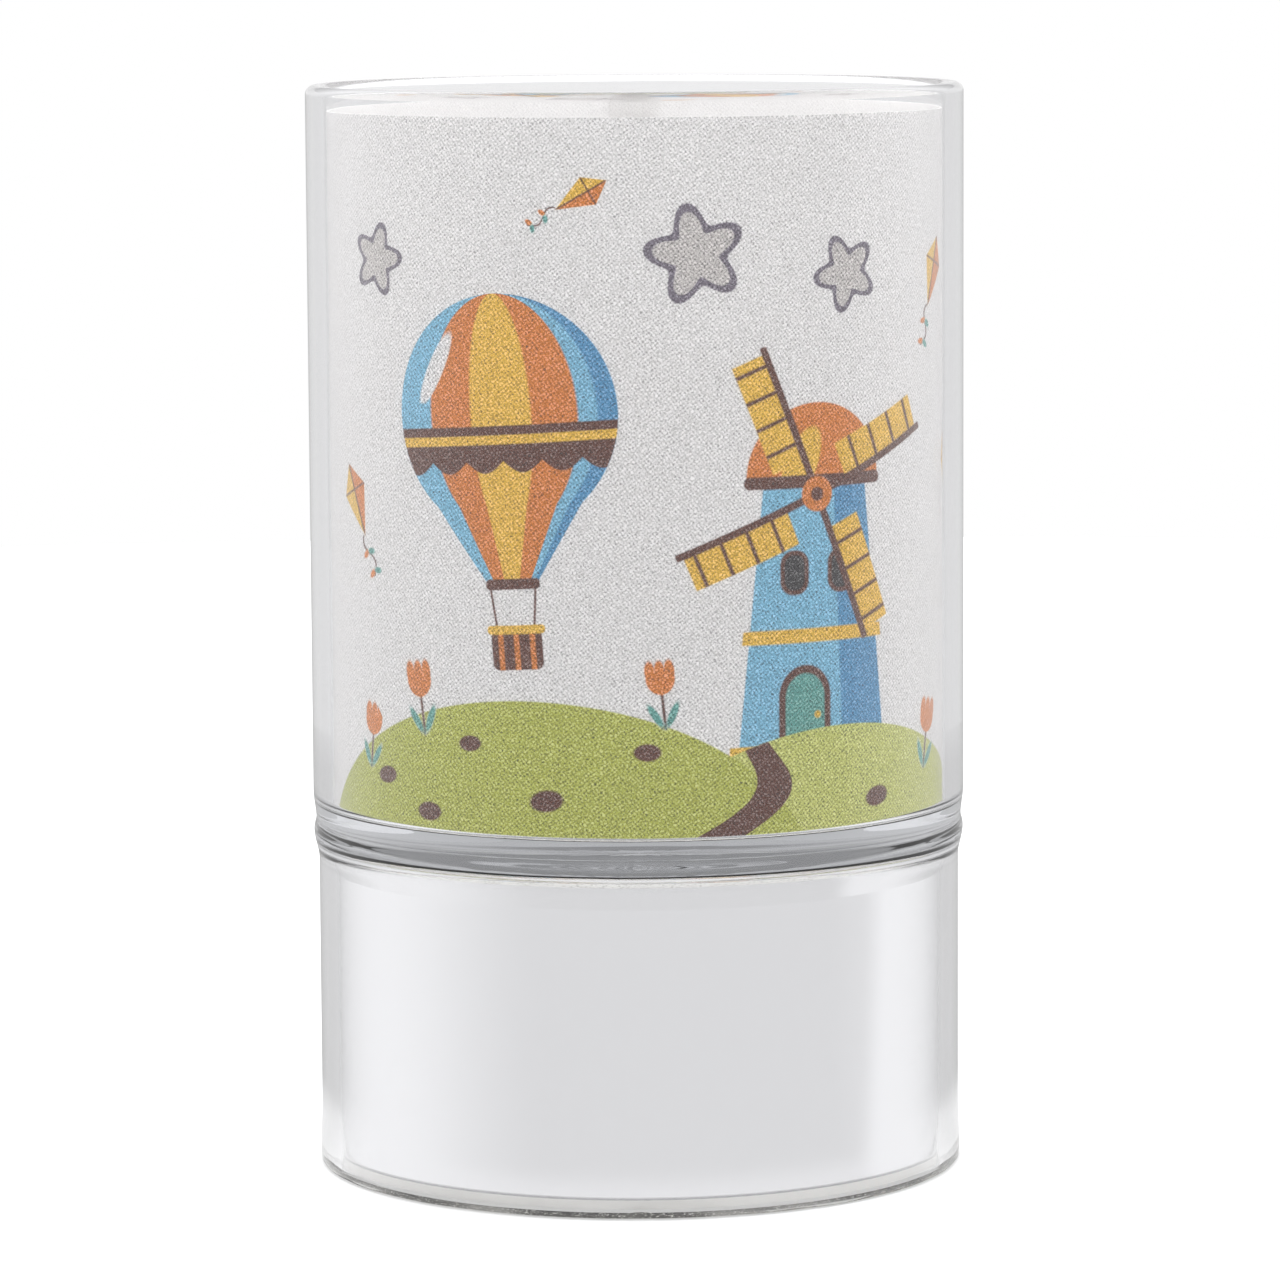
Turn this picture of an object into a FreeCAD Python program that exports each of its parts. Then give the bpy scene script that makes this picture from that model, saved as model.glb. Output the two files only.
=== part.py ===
"""Battery night-light lamp: a one-piece glass body with an open chamber above a thick glass floor
and an open skirt below it, a rolled printed sleeve in the chamber, a rolled mirror liner in the
skirt, and a round light module under the floor with three AAA cells, a door and a slide switch.

Millimetres. +Z is up, Z = 0 is the table, and the Z axis is the axis of the glass. The front of
the lamp is -Y, and the laps of both rolled sheets are at the back, +Y.
"""

import FreeCAD, Part

import math
import os

from FreeCAD import Vector

# Glass body
overall_height = 124.0
chamber_outer_r = 37.5
chamber_wall = 2.1
skirt_outer_r = 36.9
skirt_wall = 2.1
glass_floor_top = 42.0
glass_floor_thickness = 4.0
chamber_fillet = 1.0
skirt_fillet = 1.5

# Waist ring, where the two walls and the floor are fused: depths below the floor's top
waist_start_above = 1.2
pinch_below = 1.8
pinch_depth = 0.3
bulge_below = 3.3
bulge_depth = 0.05
waist_end_below = 6.7

# Foot of the glass
foot_bead = 0.15
foot_bead_start = 7.0
foot_round_height = 2.4
foot_round_width = 1.2
foot_inner_round = 0.4

# Printed sleeve, rolled once inside the chamber
sleeve_side_gap = 0.3
sleeve_thickness = 0.3
sleeve_height = 78.9
sleeve_seat_gap = 0.05
sleeve_lap = 6.0

# Tape in the sleeve's lap
tape_thickness = 0.1
tape_width = 4.0
tape_end_margin = 2.0
tape_skin_gap = 0.02

# Mirror liner, rolled once inside the skirt
liner_side_gap = 0.2
liner_thickness = 0.2
liner_lap = 5.0
liner_lap_gap = 0.02
liner_top_gap = 1.0

# Both laps step inwards over this length of the sheet
joggle_length = 3.0

# Drum of the light module
base_recess = 0.8
floor_thickness = 2.2
flange_thickness = 1.0
flange_side_gap = 0.2
drum_liner_gap = 0.5
drum_wall = 1.5

# Foam ring and reflector dish on top of the drum
foam_thickness = 2.7
foam_screw_gap = 0.3
foam_glass_gap = 0.1
dish_thickness = 1.2
dish_rim_thickness = 1.2
dish_floor_r = 13.0
dish_flat_width = 8.0
dish_depth = 5.0

# AAA cells, side by side along X
cell_r = 5.25
cell_length = 44.5
cell_button_r = 1.9
cell_button_height = 0.9
cell_rounding = 0.4
cell_gap = 0.4
cell_door_gap = 0.5
cell_roof_gap = 0.3
cell_side_gap = 0.35
cell_count = 3

# Battery bay of the drum
bay_wall = 1.6
bay_roof_thickness = 1.6
bay_end_gap = 0.2
bay_rib_width = 1.0
bay_rib_axis_gap = 2.8

# Contacts and springs
contact_thickness = 0.4
contact_width = 8.6
contact_height = 8.6
dimple_r = 2.2
dimple_top_r = 1.3
dimple_height = 0.8
spring_wire_r = 0.3
spring_plate_r = 3.6
spring_cell_r = 2.4
spring_length = 4.4
spring_turns = 3
spring_steps_per_turn = 8
spring_seat_gap = 0.03
tab_width = 3.0
tab_above_roof = 3.0
tab_slot_gap = 0.1

# Battery door with moulded pivots and a U-shaped latch
door_thickness = 2.0
door_side_gap = 0.2
door_ledge = 0.9
pivot_pin_r = 0.6
pivot_pin_length = 1.0
pivot_hole_gap = 0.05
pivot_end_gap = 0.3
latch_width = 8.0
latch_leaf = 0.8
latch_reach = 4.15
latch_height = 4.7
latch_slot_gap = 0.2
latch_edge_gap = 0.5
latch_ridge = 0.3
latch_wall_gap = 0.45
door_groove_depth = 0.4
door_groove_width = 0.8
door_groove_pitch = 2.0
door_groove_length = 12.0
door_groove_count = 3
door_rib_height = 2.6
door_rib_end_gap = 3.0

# Finger notch beside the latch
notch_r = 5.0
notch_depth = 0.9

# Slide switch, on the floor of the drum in front of the bay
switch_bay_gap = 5.05
switch_length = 8.6
switch_width = 3.7
switch_height = 3.8
switch_wall = 0.4
switch_travel = 2.0
carriage_length = 4.0
carriage_height = 1.8
carriage_gap = 0.1
knob_length = 2.0
knob_width = 1.8
knob_recess = 0.3
knob_slot_gap = 0.25
knob_groove_width = 0.3
knob_groove_depth = 0.3
knob_groove_pitch = 0.5
thumb_dish_length = 10.8
thumb_dish_width = 6.0
thumb_dish_depth = 1.1
ear_length = 4.4
ear_thickness = 0.5
ear_hole_offset = 6.5
clip_thickness = 0.25
clip_toe = 0.75
clip_gap = 0.1
terminal_pitch = 2.5
terminal_thickness = 0.5
terminal_width = 1.0
terminal_height = 2.7

# Circuit board, its posts and its parts
board_r = 22.0
board_thickness = 1.6
board_dish_gap = 3.2
post_circle_r = 15.0
post_r = 2.5
board_hole_gap = 0.1
led_circle_r = 7.0
led_body_r = 2.5
led_flange_r = 2.9
led_flange_height = 1.0
led_height = 8.6
led_dish_gap = 0.2
led_leg_r = 0.25
led_leg_pitch = 2.54
led_leg_length = 3.4
chip_length = 4.9
chip_width = 3.9
chip_height = 1.5
chip_standoff = 0.15
chip_legs_per_side = 4
chip_leg_pitch = 1.27
chip_leg_width = 0.4
chip_leg_knee = 0.6
chip_leg_reach = 1.0
chip_leg_thickness = 0.2
resistor_length = 3.2
resistor_width = 1.6
resistor_height = 0.6
resistor_circle_r = 12.5

# Screws: thread, head and the drive slot
screw_r = 0.9
screw_pilot_r = 0.92
screw_head_r = 1.8
screw_head_height = 1.2
screw_slot_width = 0.45
screw_slot_length = 2.34
screw_slot_depth = 0.6
dish_screw_length = 7.0
dish_boss_r = 2.4
boss_wall_gap = 0.5
board_screw_length = 5.0
switch_screw_length = 1.9
pilot_depth_gap = 0.5
screw_hole_gap = 0.15

# Wires inside the drum: the points of their routes lie whole and half wire diameters apart
wire_d = 1.2

# The share of the shorter run that each bend of a wire takes up
bend_share = 0.45

# Places that follow from the sizes above: heights from the table up to the bay
base_z = base_recess
flange_top = base_z + flange_thickness
floor_top = base_z + floor_thickness
door_top = base_z + door_thickness
cell_axis_z = door_top + cell_door_gap + cell_r
bay_roof_z = cell_axis_z + cell_r + cell_roof_gap
bay_top = bay_roof_z + bay_roof_thickness
tab_wire_z = bay_top + tab_above_roof / 2

# The bay round the cells
cell_pitch = 2 * cell_r + cell_gap
bay_length = cell_length + spring_length + dimple_height + 2 * contact_thickness + bay_end_gap
bay_half_x = bay_length / 2
bay_half_y = (cell_count - 1) / 2 * cell_pitch + cell_r + cell_side_gap
recess_half_x = bay_half_x + door_ledge
recess_half_y = bay_half_y + door_ledge
door_half_x = recess_half_x - door_side_gap
door_half_y = recess_half_y - door_side_gap
pivot_r = door_thickness / 2
pivot_x = -door_half_x + pivot_r
pivot_z = base_z + pivot_r
latch_inner_x = bay_half_x + bay_wall + latch_wall_gap
latch_outer_x = door_half_x + latch_reach
latch_notch_x = latch_outer_x + latch_edge_gap

# What stands inside the skirt, and the sleeve inside the chamber
skirt_inner_r = skirt_outer_r - skirt_wall
liner_outer_r = skirt_inner_r - liner_side_gap
drum_r = liner_outer_r - liner_thickness - drum_liner_gap
drum_inner_r = drum_r - drum_wall
flange_r = skirt_inner_r - flange_side_gap
chamber_inner_r = chamber_outer_r - chamber_wall
sleeve_outer_r = chamber_inner_r - sleeve_side_gap
sleeve_lap_gap = tape_thickness + 2 * tape_skin_gap

# The sleeve stands on the round corner of the chamber's floor
corner_reach = max(sleeve_outer_r - (chamber_inner_r - chamber_fillet), 0.0)
corner_rise = chamber_fillet - math.sqrt(chamber_fillet**2 - corner_reach**2)
sleeve_bottom = glass_floor_top + corner_rise + sleeve_seat_gap

# Heights from the glass floor down to the board
glass_floor_bottom = glass_floor_top - glass_floor_thickness
liner_bottom = flange_top
liner_height = glass_floor_bottom - liner_top_gap - liner_bottom
foam_top = glass_floor_bottom - foam_glass_gap
dish_rim_top = foam_top - foam_thickness
drum_top = dish_rim_top - dish_rim_thickness
dish_floor_z = dish_rim_top - dish_depth
board_top = dish_floor_z - dish_thickness - board_dish_gap
board_bottom = board_top - board_thickness

# The switch
switch_y = -(bay_half_y + bay_wall + switch_bay_gap + switch_width / 2)
switch_floor = floor_top
switch_top = switch_floor + switch_height
terminal_top = switch_top + terminal_height
carriage_x = -switch_travel / 2
carriage_bottom = switch_floor + carriage_gap
carriage_top = carriage_bottom + carriage_height

# Places round the axis
post_angles = [30.0, 150.0, 270.0]
boss_angles = [60.0, 180.0, 300.0]
led_angles = [90.0, 210.0, 330.0]
resistor_angles = [0.0, 120.0, 240.0]
boss_circle_r = drum_inner_r - dish_boss_r - boss_wall_gap
foam_outer_r = skirt_inner_r - skirt_fillet
foam_inner_r = boss_circle_r + screw_head_r + foam_screw_gap
seam_angle = 90.0


def point(radius, angle, z=0.0):
    """A point at a radius and an angle in degrees about the Z axis."""
    turn = math.radians(angle)
    return Vector(radius * math.cos(turn), radius * math.sin(turn), z)


def block(x0, x1, y0, y1, z0, z1):
    """A box between two corners."""
    return Part.makeBox(x1 - x0, y1 - y0, z1 - z0, Vector(x0, y0, z0))


def rod(radius, z0, z1, x=0.0, y=0.0):
    """An upright cylinder."""
    return Part.makeCylinder(radius, z1 - z0, Vector(x, y, z0))


def rod_along_y(radius, y0, y1, x, z):
    """A cylinder that lies along Y."""
    return Part.makeCylinder(radius, y1 - y0, Vector(x, y0, z), Vector(0, 1, 0))


def rod_along_x(radius, x0, x1, y, z):
    """A cylinder that lies along X."""
    return Part.makeCylinder(radius, x1 - x0, Vector(x0, y, z), Vector(1, 0, 0))


def ring(outer_r, inner_r, z0, z1):
    """A flat ring or a tube about the Z axis."""
    return rod(outer_r, z0, z1).cut(rod(inner_r, z0, z1))


def profile(radius, z):
    """A point of a half section, which lies in the XZ plane."""
    return Vector(radius, 0, z)


def line(a, b):
    return Part.LineSegment(a, b).toShape()


def arc(a, middle, b):
    return Part.Arc(a, middle, b).toShape()


def smooth(points, start_way, end_way):
    """A spline through points that leaves and arrives along the two ways given."""
    curve = Part.BSplineCurve()
    curve.interpolate(Points=points, InitialTangent=start_way, FinalTangent=end_way)
    return curve.toShape()


def turned(edges):
    """The solid of a closed half section turned about the Z axis."""
    face = Part.Face(Part.Wire(edges))
    return face.revolve(Vector(0, 0, 0), Vector(0, 0, 1), 360)


def corner_middle(centre, radius, angle):
    """The point of a round corner at an angle in degrees, in the XZ plane."""
    turn = math.radians(angle)
    return centre + Vector(radius * math.cos(turn), 0, radius * math.sin(turn))


def tube_along(points, radius):
    """A round tube along straight runs joined by tangent arcs, each as large as its runs allow."""
    edges = []
    start = points[0]
    for before, corner, after in zip(points, points[1:], points[2:]):
        way_in = (corner - before).normalize()
        way_out = (after - corner).normalize()
        turn = way_in.getAngle(way_out)
        back = bend_share * min((corner - before).Length, (after - corner).Length)
        bend_r = back / math.tan(turn / 2)
        arc_start = corner - way_in * back
        arc_end = corner + way_out * back
        inward = (way_out - way_in).normalize()
        depth = bend_r / math.cos(turn / 2) - bend_r
        edges.append(line(start, arc_start))
        edges.append(arc(arc_start, corner + inward * depth, arc_end))
        start = arc_end
    edges.append(line(start, points[-1]))
    path = Part.Wire(edges)
    section = Part.Wire(Part.makeCircle(radius, points[0], (points[1] - points[0]).normalize()))
    solid = path.makePipeShell([section], True, False)
    expected = math.pi * radius**2 * path.Length
    print(f"wire of {path.Length:.1f} mm, volume {solid.Volume / expected:.4f} of section times length")
    return solid


def save(name, shape):
    """Writes one piece to its file."""
    if not shape.isValid():
        print("NOT VALID", name)
    shape.exportStep(f"parts/{name}.step")
    print(f"{name}: {len(shape.Solids)} solid(s), {shape.Volume:.1f} mm3")


def glass_body():
    """Chamber, waist ring, floor and skirt, turned as one piece."""
    up = Vector(0, 0, 1)
    down = Vector(0, 0, -1)
    rim_r = chamber_wall / 2
    rim_z = overall_height - rim_r
    foot_r = skirt_outer_r + foot_bead
    foot_outer = profile(foot_r - foot_round_width, 0)
    foot_side = profile(foot_r, foot_round_height)
    skirt_start = profile(skirt_outer_r, foot_bead_start)
    waist_end = profile(skirt_outer_r, glass_floor_top - waist_end_below)
    bulge = profile(chamber_outer_r - bulge_depth, glass_floor_top - bulge_below)
    pinch = profile(chamber_outer_r - pinch_depth, glass_floor_top - pinch_below)
    waist_start = profile(chamber_outer_r, glass_floor_top + waist_start_above)
    rim_outer = profile(chamber_outer_r, rim_z)
    rim_crown = profile(chamber_outer_r - rim_r, overall_height)
    rim_inner = profile(chamber_inner_r, rim_z)
    upper_turn = profile(chamber_inner_r - chamber_fillet, glass_floor_top + chamber_fillet)
    upper_side = profile(chamber_inner_r, glass_floor_top + chamber_fillet)
    upper_floor = profile(chamber_inner_r - chamber_fillet, glass_floor_top)
    lower_turn = profile(skirt_inner_r - skirt_fillet, glass_floor_bottom - skirt_fillet)
    lower_ceiling = profile(skirt_inner_r - skirt_fillet, glass_floor_bottom)
    lower_side = profile(skirt_inner_r, glass_floor_bottom - skirt_fillet)
    mouth = profile(skirt_inner_r, foot_inner_round)
    foot_inner = profile(skirt_inner_r + foot_inner_round, 0)
    edges = [
        smooth([foot_outer, foot_side], Vector(1, 0, 0), up),
        smooth([foot_side, skirt_start], up, up),
        line(skirt_start, waist_end),
        smooth([waist_end, bulge, pinch, waist_start], up, up),
        line(waist_start, rim_outer),
        arc(rim_outer, rim_crown, rim_inner),
        line(rim_inner, upper_side),
        arc(upper_side, corner_middle(upper_turn, chamber_fillet, -45), upper_floor),
        line(upper_floor, profile(0, glass_floor_top)),
        line(profile(0, glass_floor_top), profile(0, glass_floor_bottom)),
        line(profile(0, glass_floor_bottom), lower_ceiling),
        arc(lower_ceiling, corner_middle(lower_turn, skirt_fillet, 45), lower_side),
        line(lower_side, mouth),
        smooth([mouth, foot_inner], down, Vector(1, 0, 0)),
        line(foot_inner, foot_outer),
    ]
    return turned(edges)


def sheet_turn(outer_r, thickness, length):
    """The angle in degrees that a length of the sheet takes."""
    return math.degrees(length / (outer_r - thickness / 2))


def rolled_sheet(outer_r, thickness, lap, lap_gap, bottom, height):
    """A sheet rolled once round: its end steps inwards and laps inside its start, at the back."""
    step = thickness + lap_gap
    lap_turn = sheet_turn(outer_r, thickness, lap)
    joggle_turn = sheet_turn(outer_r, thickness, joggle_length)
    first = seam_angle - lap_turn / 2
    bend = first + 360 - joggle_turn
    inside = first + 360
    last = inside + lap_turn

    def face_edges(radius):
        far = (first + bend) / 2
        way_in = point(1, bend + 90)
        way_out = point(1, inside + 90)
        near_end = (inside + last) / 2
        return [
            arc(point(radius, first, bottom), point(radius, far, bottom), point(radius, bend, bottom)),
            smooth([point(radius, bend, bottom), point(radius - step, inside, bottom)], way_in, way_out),
            arc(
                point(radius - step, inside, bottom),
                point(radius - step, near_end, bottom),
                point(radius - step, last, bottom),
            ),
        ]

    inner_r = outer_r - thickness
    edges = face_edges(outer_r) + face_edges(inner_r)
    edges.append(line(point(outer_r, first, bottom), point(inner_r, first, bottom)))
    edges.append(line(point(outer_r - step, last, bottom), point(inner_r - step, last, bottom)))
    outline = Part.Wire(Part.__sortEdges__(edges))
    return Part.Face(outline).extrude(Vector(0, 0, height))


def seam_tape():
    """The strip that holds the sleeve's lap together, between its two layers."""
    outer_r = sleeve_outer_r - sleeve_thickness - tape_skin_gap
    inner_r = outer_r - tape_thickness
    half = sheet_turn(outer_r, tape_thickness, tape_width) / 2
    bottom = sleeve_bottom + tape_end_margin
    angles = (seam_angle - half, seam_angle, seam_angle + half)
    outer = [point(outer_r, angle, bottom) for angle in angles]
    inner = [point(inner_r, angle, bottom) for angle in angles]
    edges = [arc(*outer), line(outer[-1], inner[-1]), arc(*reversed(inner)), line(inner[0], outer[0])]
    strip = Part.Face(Part.Wire(edges))
    return strip.extrude(Vector(0, 0, sleeve_height - 2 * tape_end_margin))


def cell_ys():
    """The Y of each cell's axis."""
    middle = (cell_count - 1) / 2
    return [(index - middle) * cell_pitch for index in range(cell_count)]


def rib_ys():
    """The Y of each rib, between neighbouring cells."""
    ys = cell_ys()
    return [(a + b) / 2 for a, b in zip(ys, ys[1:])]


def screw_shape(x, y, seat_z, length):
    """A pan head screw with a plain shank and a cross slot, its head on seat_z, pointing down."""
    shank = rod(screw_r, seat_z - length, seat_z, x, y)
    head = rod(screw_head_r, seat_z, seat_z + screw_head_height, x, y)
    solid = shank.fuse(head)
    reach = screw_slot_length / 2
    half = screw_slot_width / 2
    slot_z = seat_z + screw_head_height - screw_slot_depth
    top_z = seat_z + screw_head_height
    for half_x, half_y in ((reach, half), (half, reach)):
        solid = solid.cut(block(x - half_x, x + half_x, y - half_y, y + half_y, slot_z, top_z))
    return solid.removeSplitter()


def pilot(x, y, seat_z, length, thickness_above):
    """The hole that a screw of this length bites in, under a part of this thickness."""
    bottom = seat_z + thickness_above - length - pilot_depth_gap
    return rod(screw_pilot_r, bottom, seat_z, x, y)


def module_housing():
    """The drum: wall, floor with flange, battery bay, posts and bosses, open at the top."""
    shell = rod(drum_r, base_z, drum_top).cut(rod(drum_inner_r, floor_top, drum_top))
    shell = shell.fuse(rod(flange_r, base_z, flange_top))
    bay = block(
        -bay_half_x - bay_wall, bay_half_x + bay_wall,
        -bay_half_y - bay_wall, bay_half_y + bay_wall,
        floor_top, bay_top,
    )
    posts = [rod(post_r, bay_top, board_bottom, p.x, p.y) for p in post_places()]
    bosses = [rod(dish_boss_r, floor_top, drum_top, p.x, p.y) for p in boss_places()]
    webs = [boss_web(angle) for angle in boss_angles]
    body = shell.multiFuse([bay] + posts + bosses + webs)
    cuts = [
        block(-bay_half_x, bay_half_x, -bay_half_y, bay_half_y, base_z, bay_roof_z),
        block(
            -recess_half_x, recess_half_x,
            -recess_half_y, recess_half_y,
            base_z, door_top + door_side_gap,
        ),
        block(
            recess_half_x, latch_notch_x,
            -latch_width / 2 - latch_slot_gap, latch_width / 2 + latch_slot_gap,
            base_z, floor_top,
        ),
        rod_along_y(
            pivot_pin_r + pivot_hole_gap,
            -recess_half_y - pivot_pin_length - pivot_end_gap,
            recess_half_y + pivot_pin_length + pivot_end_gap,
            pivot_x, pivot_z,
        ),
        finger_notch(),
        thumb_dish(),
        knob_slot(),
    ]
    cuts += [tab_slot(x, y) for x, y in tab_places()]
    cuts += [pilot(p.x, p.y, board_bottom, board_screw_length, board_thickness) for p in post_places()]
    cuts += [pilot(p.x, p.y, drum_top, dish_screw_length, dish_rim_thickness) for p in boss_places()]
    ear_pilot_z = floor_top + ear_thickness - switch_screw_length
    cuts += [
        rod(screw_pilot_r, ear_pilot_z, floor_top, side * ear_hole_offset, switch_y)
        for side in (-1, 1)
    ]
    body = body.cut(Part.makeCompound(cuts))
    ribs = [
        block(
            -bay_half_x + door_rib_end_gap, bay_half_x - door_rib_end_gap,
            y - bay_rib_width / 2, y + bay_rib_width / 2,
            cell_axis_z + bay_rib_axis_gap, bay_roof_z,
        )
        for y in rib_ys()
    ]
    return body.multiFuse(ribs).removeSplitter()


def post_places():
    return [point(post_circle_r, angle) for angle in post_angles]


def boss_places():
    return [point(boss_circle_r, angle) for angle in boss_angles]


def boss_web(angle):
    """The web that joins a boss to the drum's wall."""
    half = drum_wall / 2
    web = block(boss_circle_r, drum_inner_r + half, -half, half, floor_top, drum_top)
    web.rotate(Vector(0, 0, 0), Vector(0, 0, 1), angle)
    return web


def finger_notch():
    """A half-round recess in the underside beside the latch, where a fingernail goes in."""
    notch = rod(notch_r, base_z, base_z + notch_depth, latch_notch_x, 0)
    limit = rod(drum_r - drum_wall, base_z, base_z + notch_depth)
    return notch.common(limit)


def oblong(length, width, z0, z1, x, y):
    """An upright slot with round ends along X."""
    half = (length - width) / 2
    middle = block(x - half, x + half, y - width / 2, y + width / 2, z0, z1)
    return middle.multiFuse([rod(width / 2, z0, z1, x - half, y), rod(width / 2, z0, z1, x + half, y)])


def thumb_dish():
    """The shallow dish in the underside round the switch's knob."""
    return oblong(thumb_dish_length, thumb_dish_width, base_z, base_z + thumb_dish_depth, 0, switch_y)


def knob_slot():
    """The slot in the floor that the knob runs in."""
    half_x = (knob_length + switch_travel) / 2 + knob_slot_gap
    half_y = knob_width / 2 + knob_slot_gap
    return block(-half_x, half_x, switch_y - half_y, switch_y + half_y, base_z, floor_top)


def tab_places():
    """The X of the outer face and the Y of each soldering tab."""
    ys = cell_ys()
    return [(-bay_half_x, ys[0]), (bay_half_x, ys[-1])]


def tab_slot(x, y):
    """The slot in the bay's roof that a soldering tab comes up through."""
    inner = x - math.copysign(contact_thickness + tab_slot_gap, x)
    low, high = sorted((x, inner))
    half = tab_width / 2 + tab_slot_gap
    return block(low, high, y - half, y + half, bay_roof_z, bay_top)


def cell_sides():
    """+1 where a cell's button points along +X, and -1 where it points along -X."""
    return [1 if index % 2 == 0 else -1 for index in range(cell_count)]


def battery(index):
    """One AAA cell with its button."""
    y = cell_ys()[index]
    side = cell_sides()[index]
    button_end = bay_half_x - contact_thickness - dimple_height
    can_end = button_end - cell_button_height
    flat_end = button_end - cell_length
    can = rod_along_x(cell_r, flat_end, can_end, 0, 0)
    round_edges = [edge for edge in can.Edges if edge.Curve.TypeId == "Part::GeomCircle"]
    can = can.makeFillet(cell_rounding, round_edges)
    button = rod_along_x(cell_button_r, can_end, button_end, 0, 0)
    solid = can.fuse(button)
    if side < 0:
        solid.rotate(Vector(0, 0, 0), Vector(0, 0, 1), 180)
    solid.translate(Vector(0, y, cell_axis_z))
    return solid


def contact_plate(side, y0, y1):
    """A flat contact against an end wall of the bay, between two cells' axes."""
    x = side * bay_half_x
    low, high = sorted((x, x - side * contact_thickness))
    half_y = contact_width / 2
    half_z = contact_height / 2
    return block(low, high, y0 - half_y, y1 + half_y, cell_axis_z - half_z, cell_axis_z + half_z)


def dimple(side, y):
    """The raised point that a cell's button touches."""
    x = side * (bay_half_x - contact_thickness)
    base = Vector(x, y, cell_axis_z)
    return Part.makeCone(dimple_r, dimple_top_r, dimple_height, base, Vector(-side, 0, 0))


def tab(side, y):
    """The soldering tab of an end contact, up through the bay's roof."""
    x = side * bay_half_x
    low, high = sorted((x, x - side * contact_thickness))
    return block(low, high, y - tab_width / 2, y + tab_width / 2, cell_axis_z, bay_top + tab_above_roof)


def link_contact_right():
    """Joins the button of the first cell to the spring of the second, at +X."""
    ys = cell_ys()
    return contact_plate(1, ys[0], ys[1]).fuse(dimple(1, ys[0])).removeSplitter()


def link_contact_left():
    """Joins the button of the second cell to the spring of the third, at -X."""
    ys = cell_ys()
    return contact_plate(-1, ys[1], ys[2]).fuse(dimple(-1, ys[1])).removeSplitter()


def positive_terminal():
    """The contact of the last cell's button, with its soldering tab."""
    y = cell_ys()[-1]
    return contact_plate(1, y, y).multiFuse([dimple(1, y), tab(1, y)]).removeSplitter()


def negative_terminal():
    """The contact of the first cell's spring, with its soldering tab."""
    y = cell_ys()[0]
    return contact_plate(-1, y, y).fuse(tab(-1, y)).removeSplitter()


def contact_spring(index):
    """A tapered coil between a contact plate and a cell's flat end."""
    side = -cell_sides()[index]
    start_x = bay_half_x - contact_thickness - spring_wire_r - spring_seat_gap
    rise = spring_length - 2 * spring_wire_r - 2 * spring_seat_gap
    steps = spring_steps_per_turn * spring_turns

    def coil_point(step):
        share = step / steps
        radius = spring_plate_r + (spring_cell_r - spring_plate_r) * share
        turn = 2 * math.pi * spring_turns * share
        return Vector(start_x - rise * share, radius * math.sin(turn), radius * math.cos(turn))

    points = [coil_point(step) for step in range(steps + 1)]
    arcs = [arc(*points[k:k + 3]) for k in range(0, steps, 2)]
    path = Part.Wire(arcs)
    first = arcs[0]
    way = first.tangentAt(first.FirstParameter)
    section = Part.Wire(Part.makeCircle(spring_wire_r, points[0], way))
    solid = path.makePipeShell([section], True, False)
    expected = math.pi * spring_wire_r**2 * path.Length
    gap = rise / spring_turns - 2 * spring_wire_r
    print(f"spring: volume {solid.Volume / expected:.4f} of section times length, turns {gap:.2f} mm apart")
    if side < 0:
        solid.rotate(Vector(0, 0, 0), Vector(0, 0, 1), 180)
    solid.translate(Vector(0, cell_ys()[index], cell_axis_z))
    return solid


def battery_door():
    """The door: a plate with a round pivot edge and pins at -X, and a U-shaped latch at +X."""
    plate = block(pivot_x, door_half_x, -door_half_y, door_half_y, base_z, door_top)
    nose = rod_along_y(pivot_r, -door_half_y, door_half_y, pivot_x, pivot_z)
    pin_half = door_half_y + door_side_gap + pivot_pin_length
    pins = rod_along_y(pivot_pin_r, -pin_half, pin_half, pivot_x, pivot_z)
    half = latch_width / 2
    u_top = door_top + latch_height
    foot = block(door_half_x, latch_inner_x + latch_leaf, -half, half, base_z, door_top)
    inner_leaf = block(latch_inner_x, latch_inner_x + latch_leaf, -half, half, base_z, u_top)
    bridge = block(latch_inner_x, latch_outer_x, -half, half, u_top - latch_leaf, u_top)
    outer_leaf = block(
        latch_outer_x - latch_leaf, latch_outer_x, -half, half,
        base_z + latch_leaf / 2, u_top,
    )
    ridge_z = floor_top + latch_ridge
    ridge = block(
        latch_outer_x, latch_outer_x + latch_ridge, -half / 2, half / 2,
        ridge_z, ridge_z + latch_ridge,
    )
    body = plate.multiFuse([nose, pins, foot, inner_leaf, bridge, outer_leaf, ridge])
    ribs = [
        block(
            -bay_half_x + door_rib_end_gap, bay_half_x - door_rib_end_gap,
            y - bay_rib_width / 2, y + bay_rib_width / 2,
            door_top, door_top + door_rib_height,
        )
        for y in rib_ys()
    ]
    body = body.multiFuse(ribs)
    grooves = []
    for index in range(door_groove_count):
        x = door_half_x - door_groove_pitch * (index + 1)
        grooves.append(
            block(
                x - door_groove_width / 2, x + door_groove_width / 2,
                -door_groove_length / 2, door_groove_length / 2,
                base_z, base_z + door_groove_depth,
            )
        )
    return body.cut(Part.makeCompound(grooves)).removeSplitter()


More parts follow.
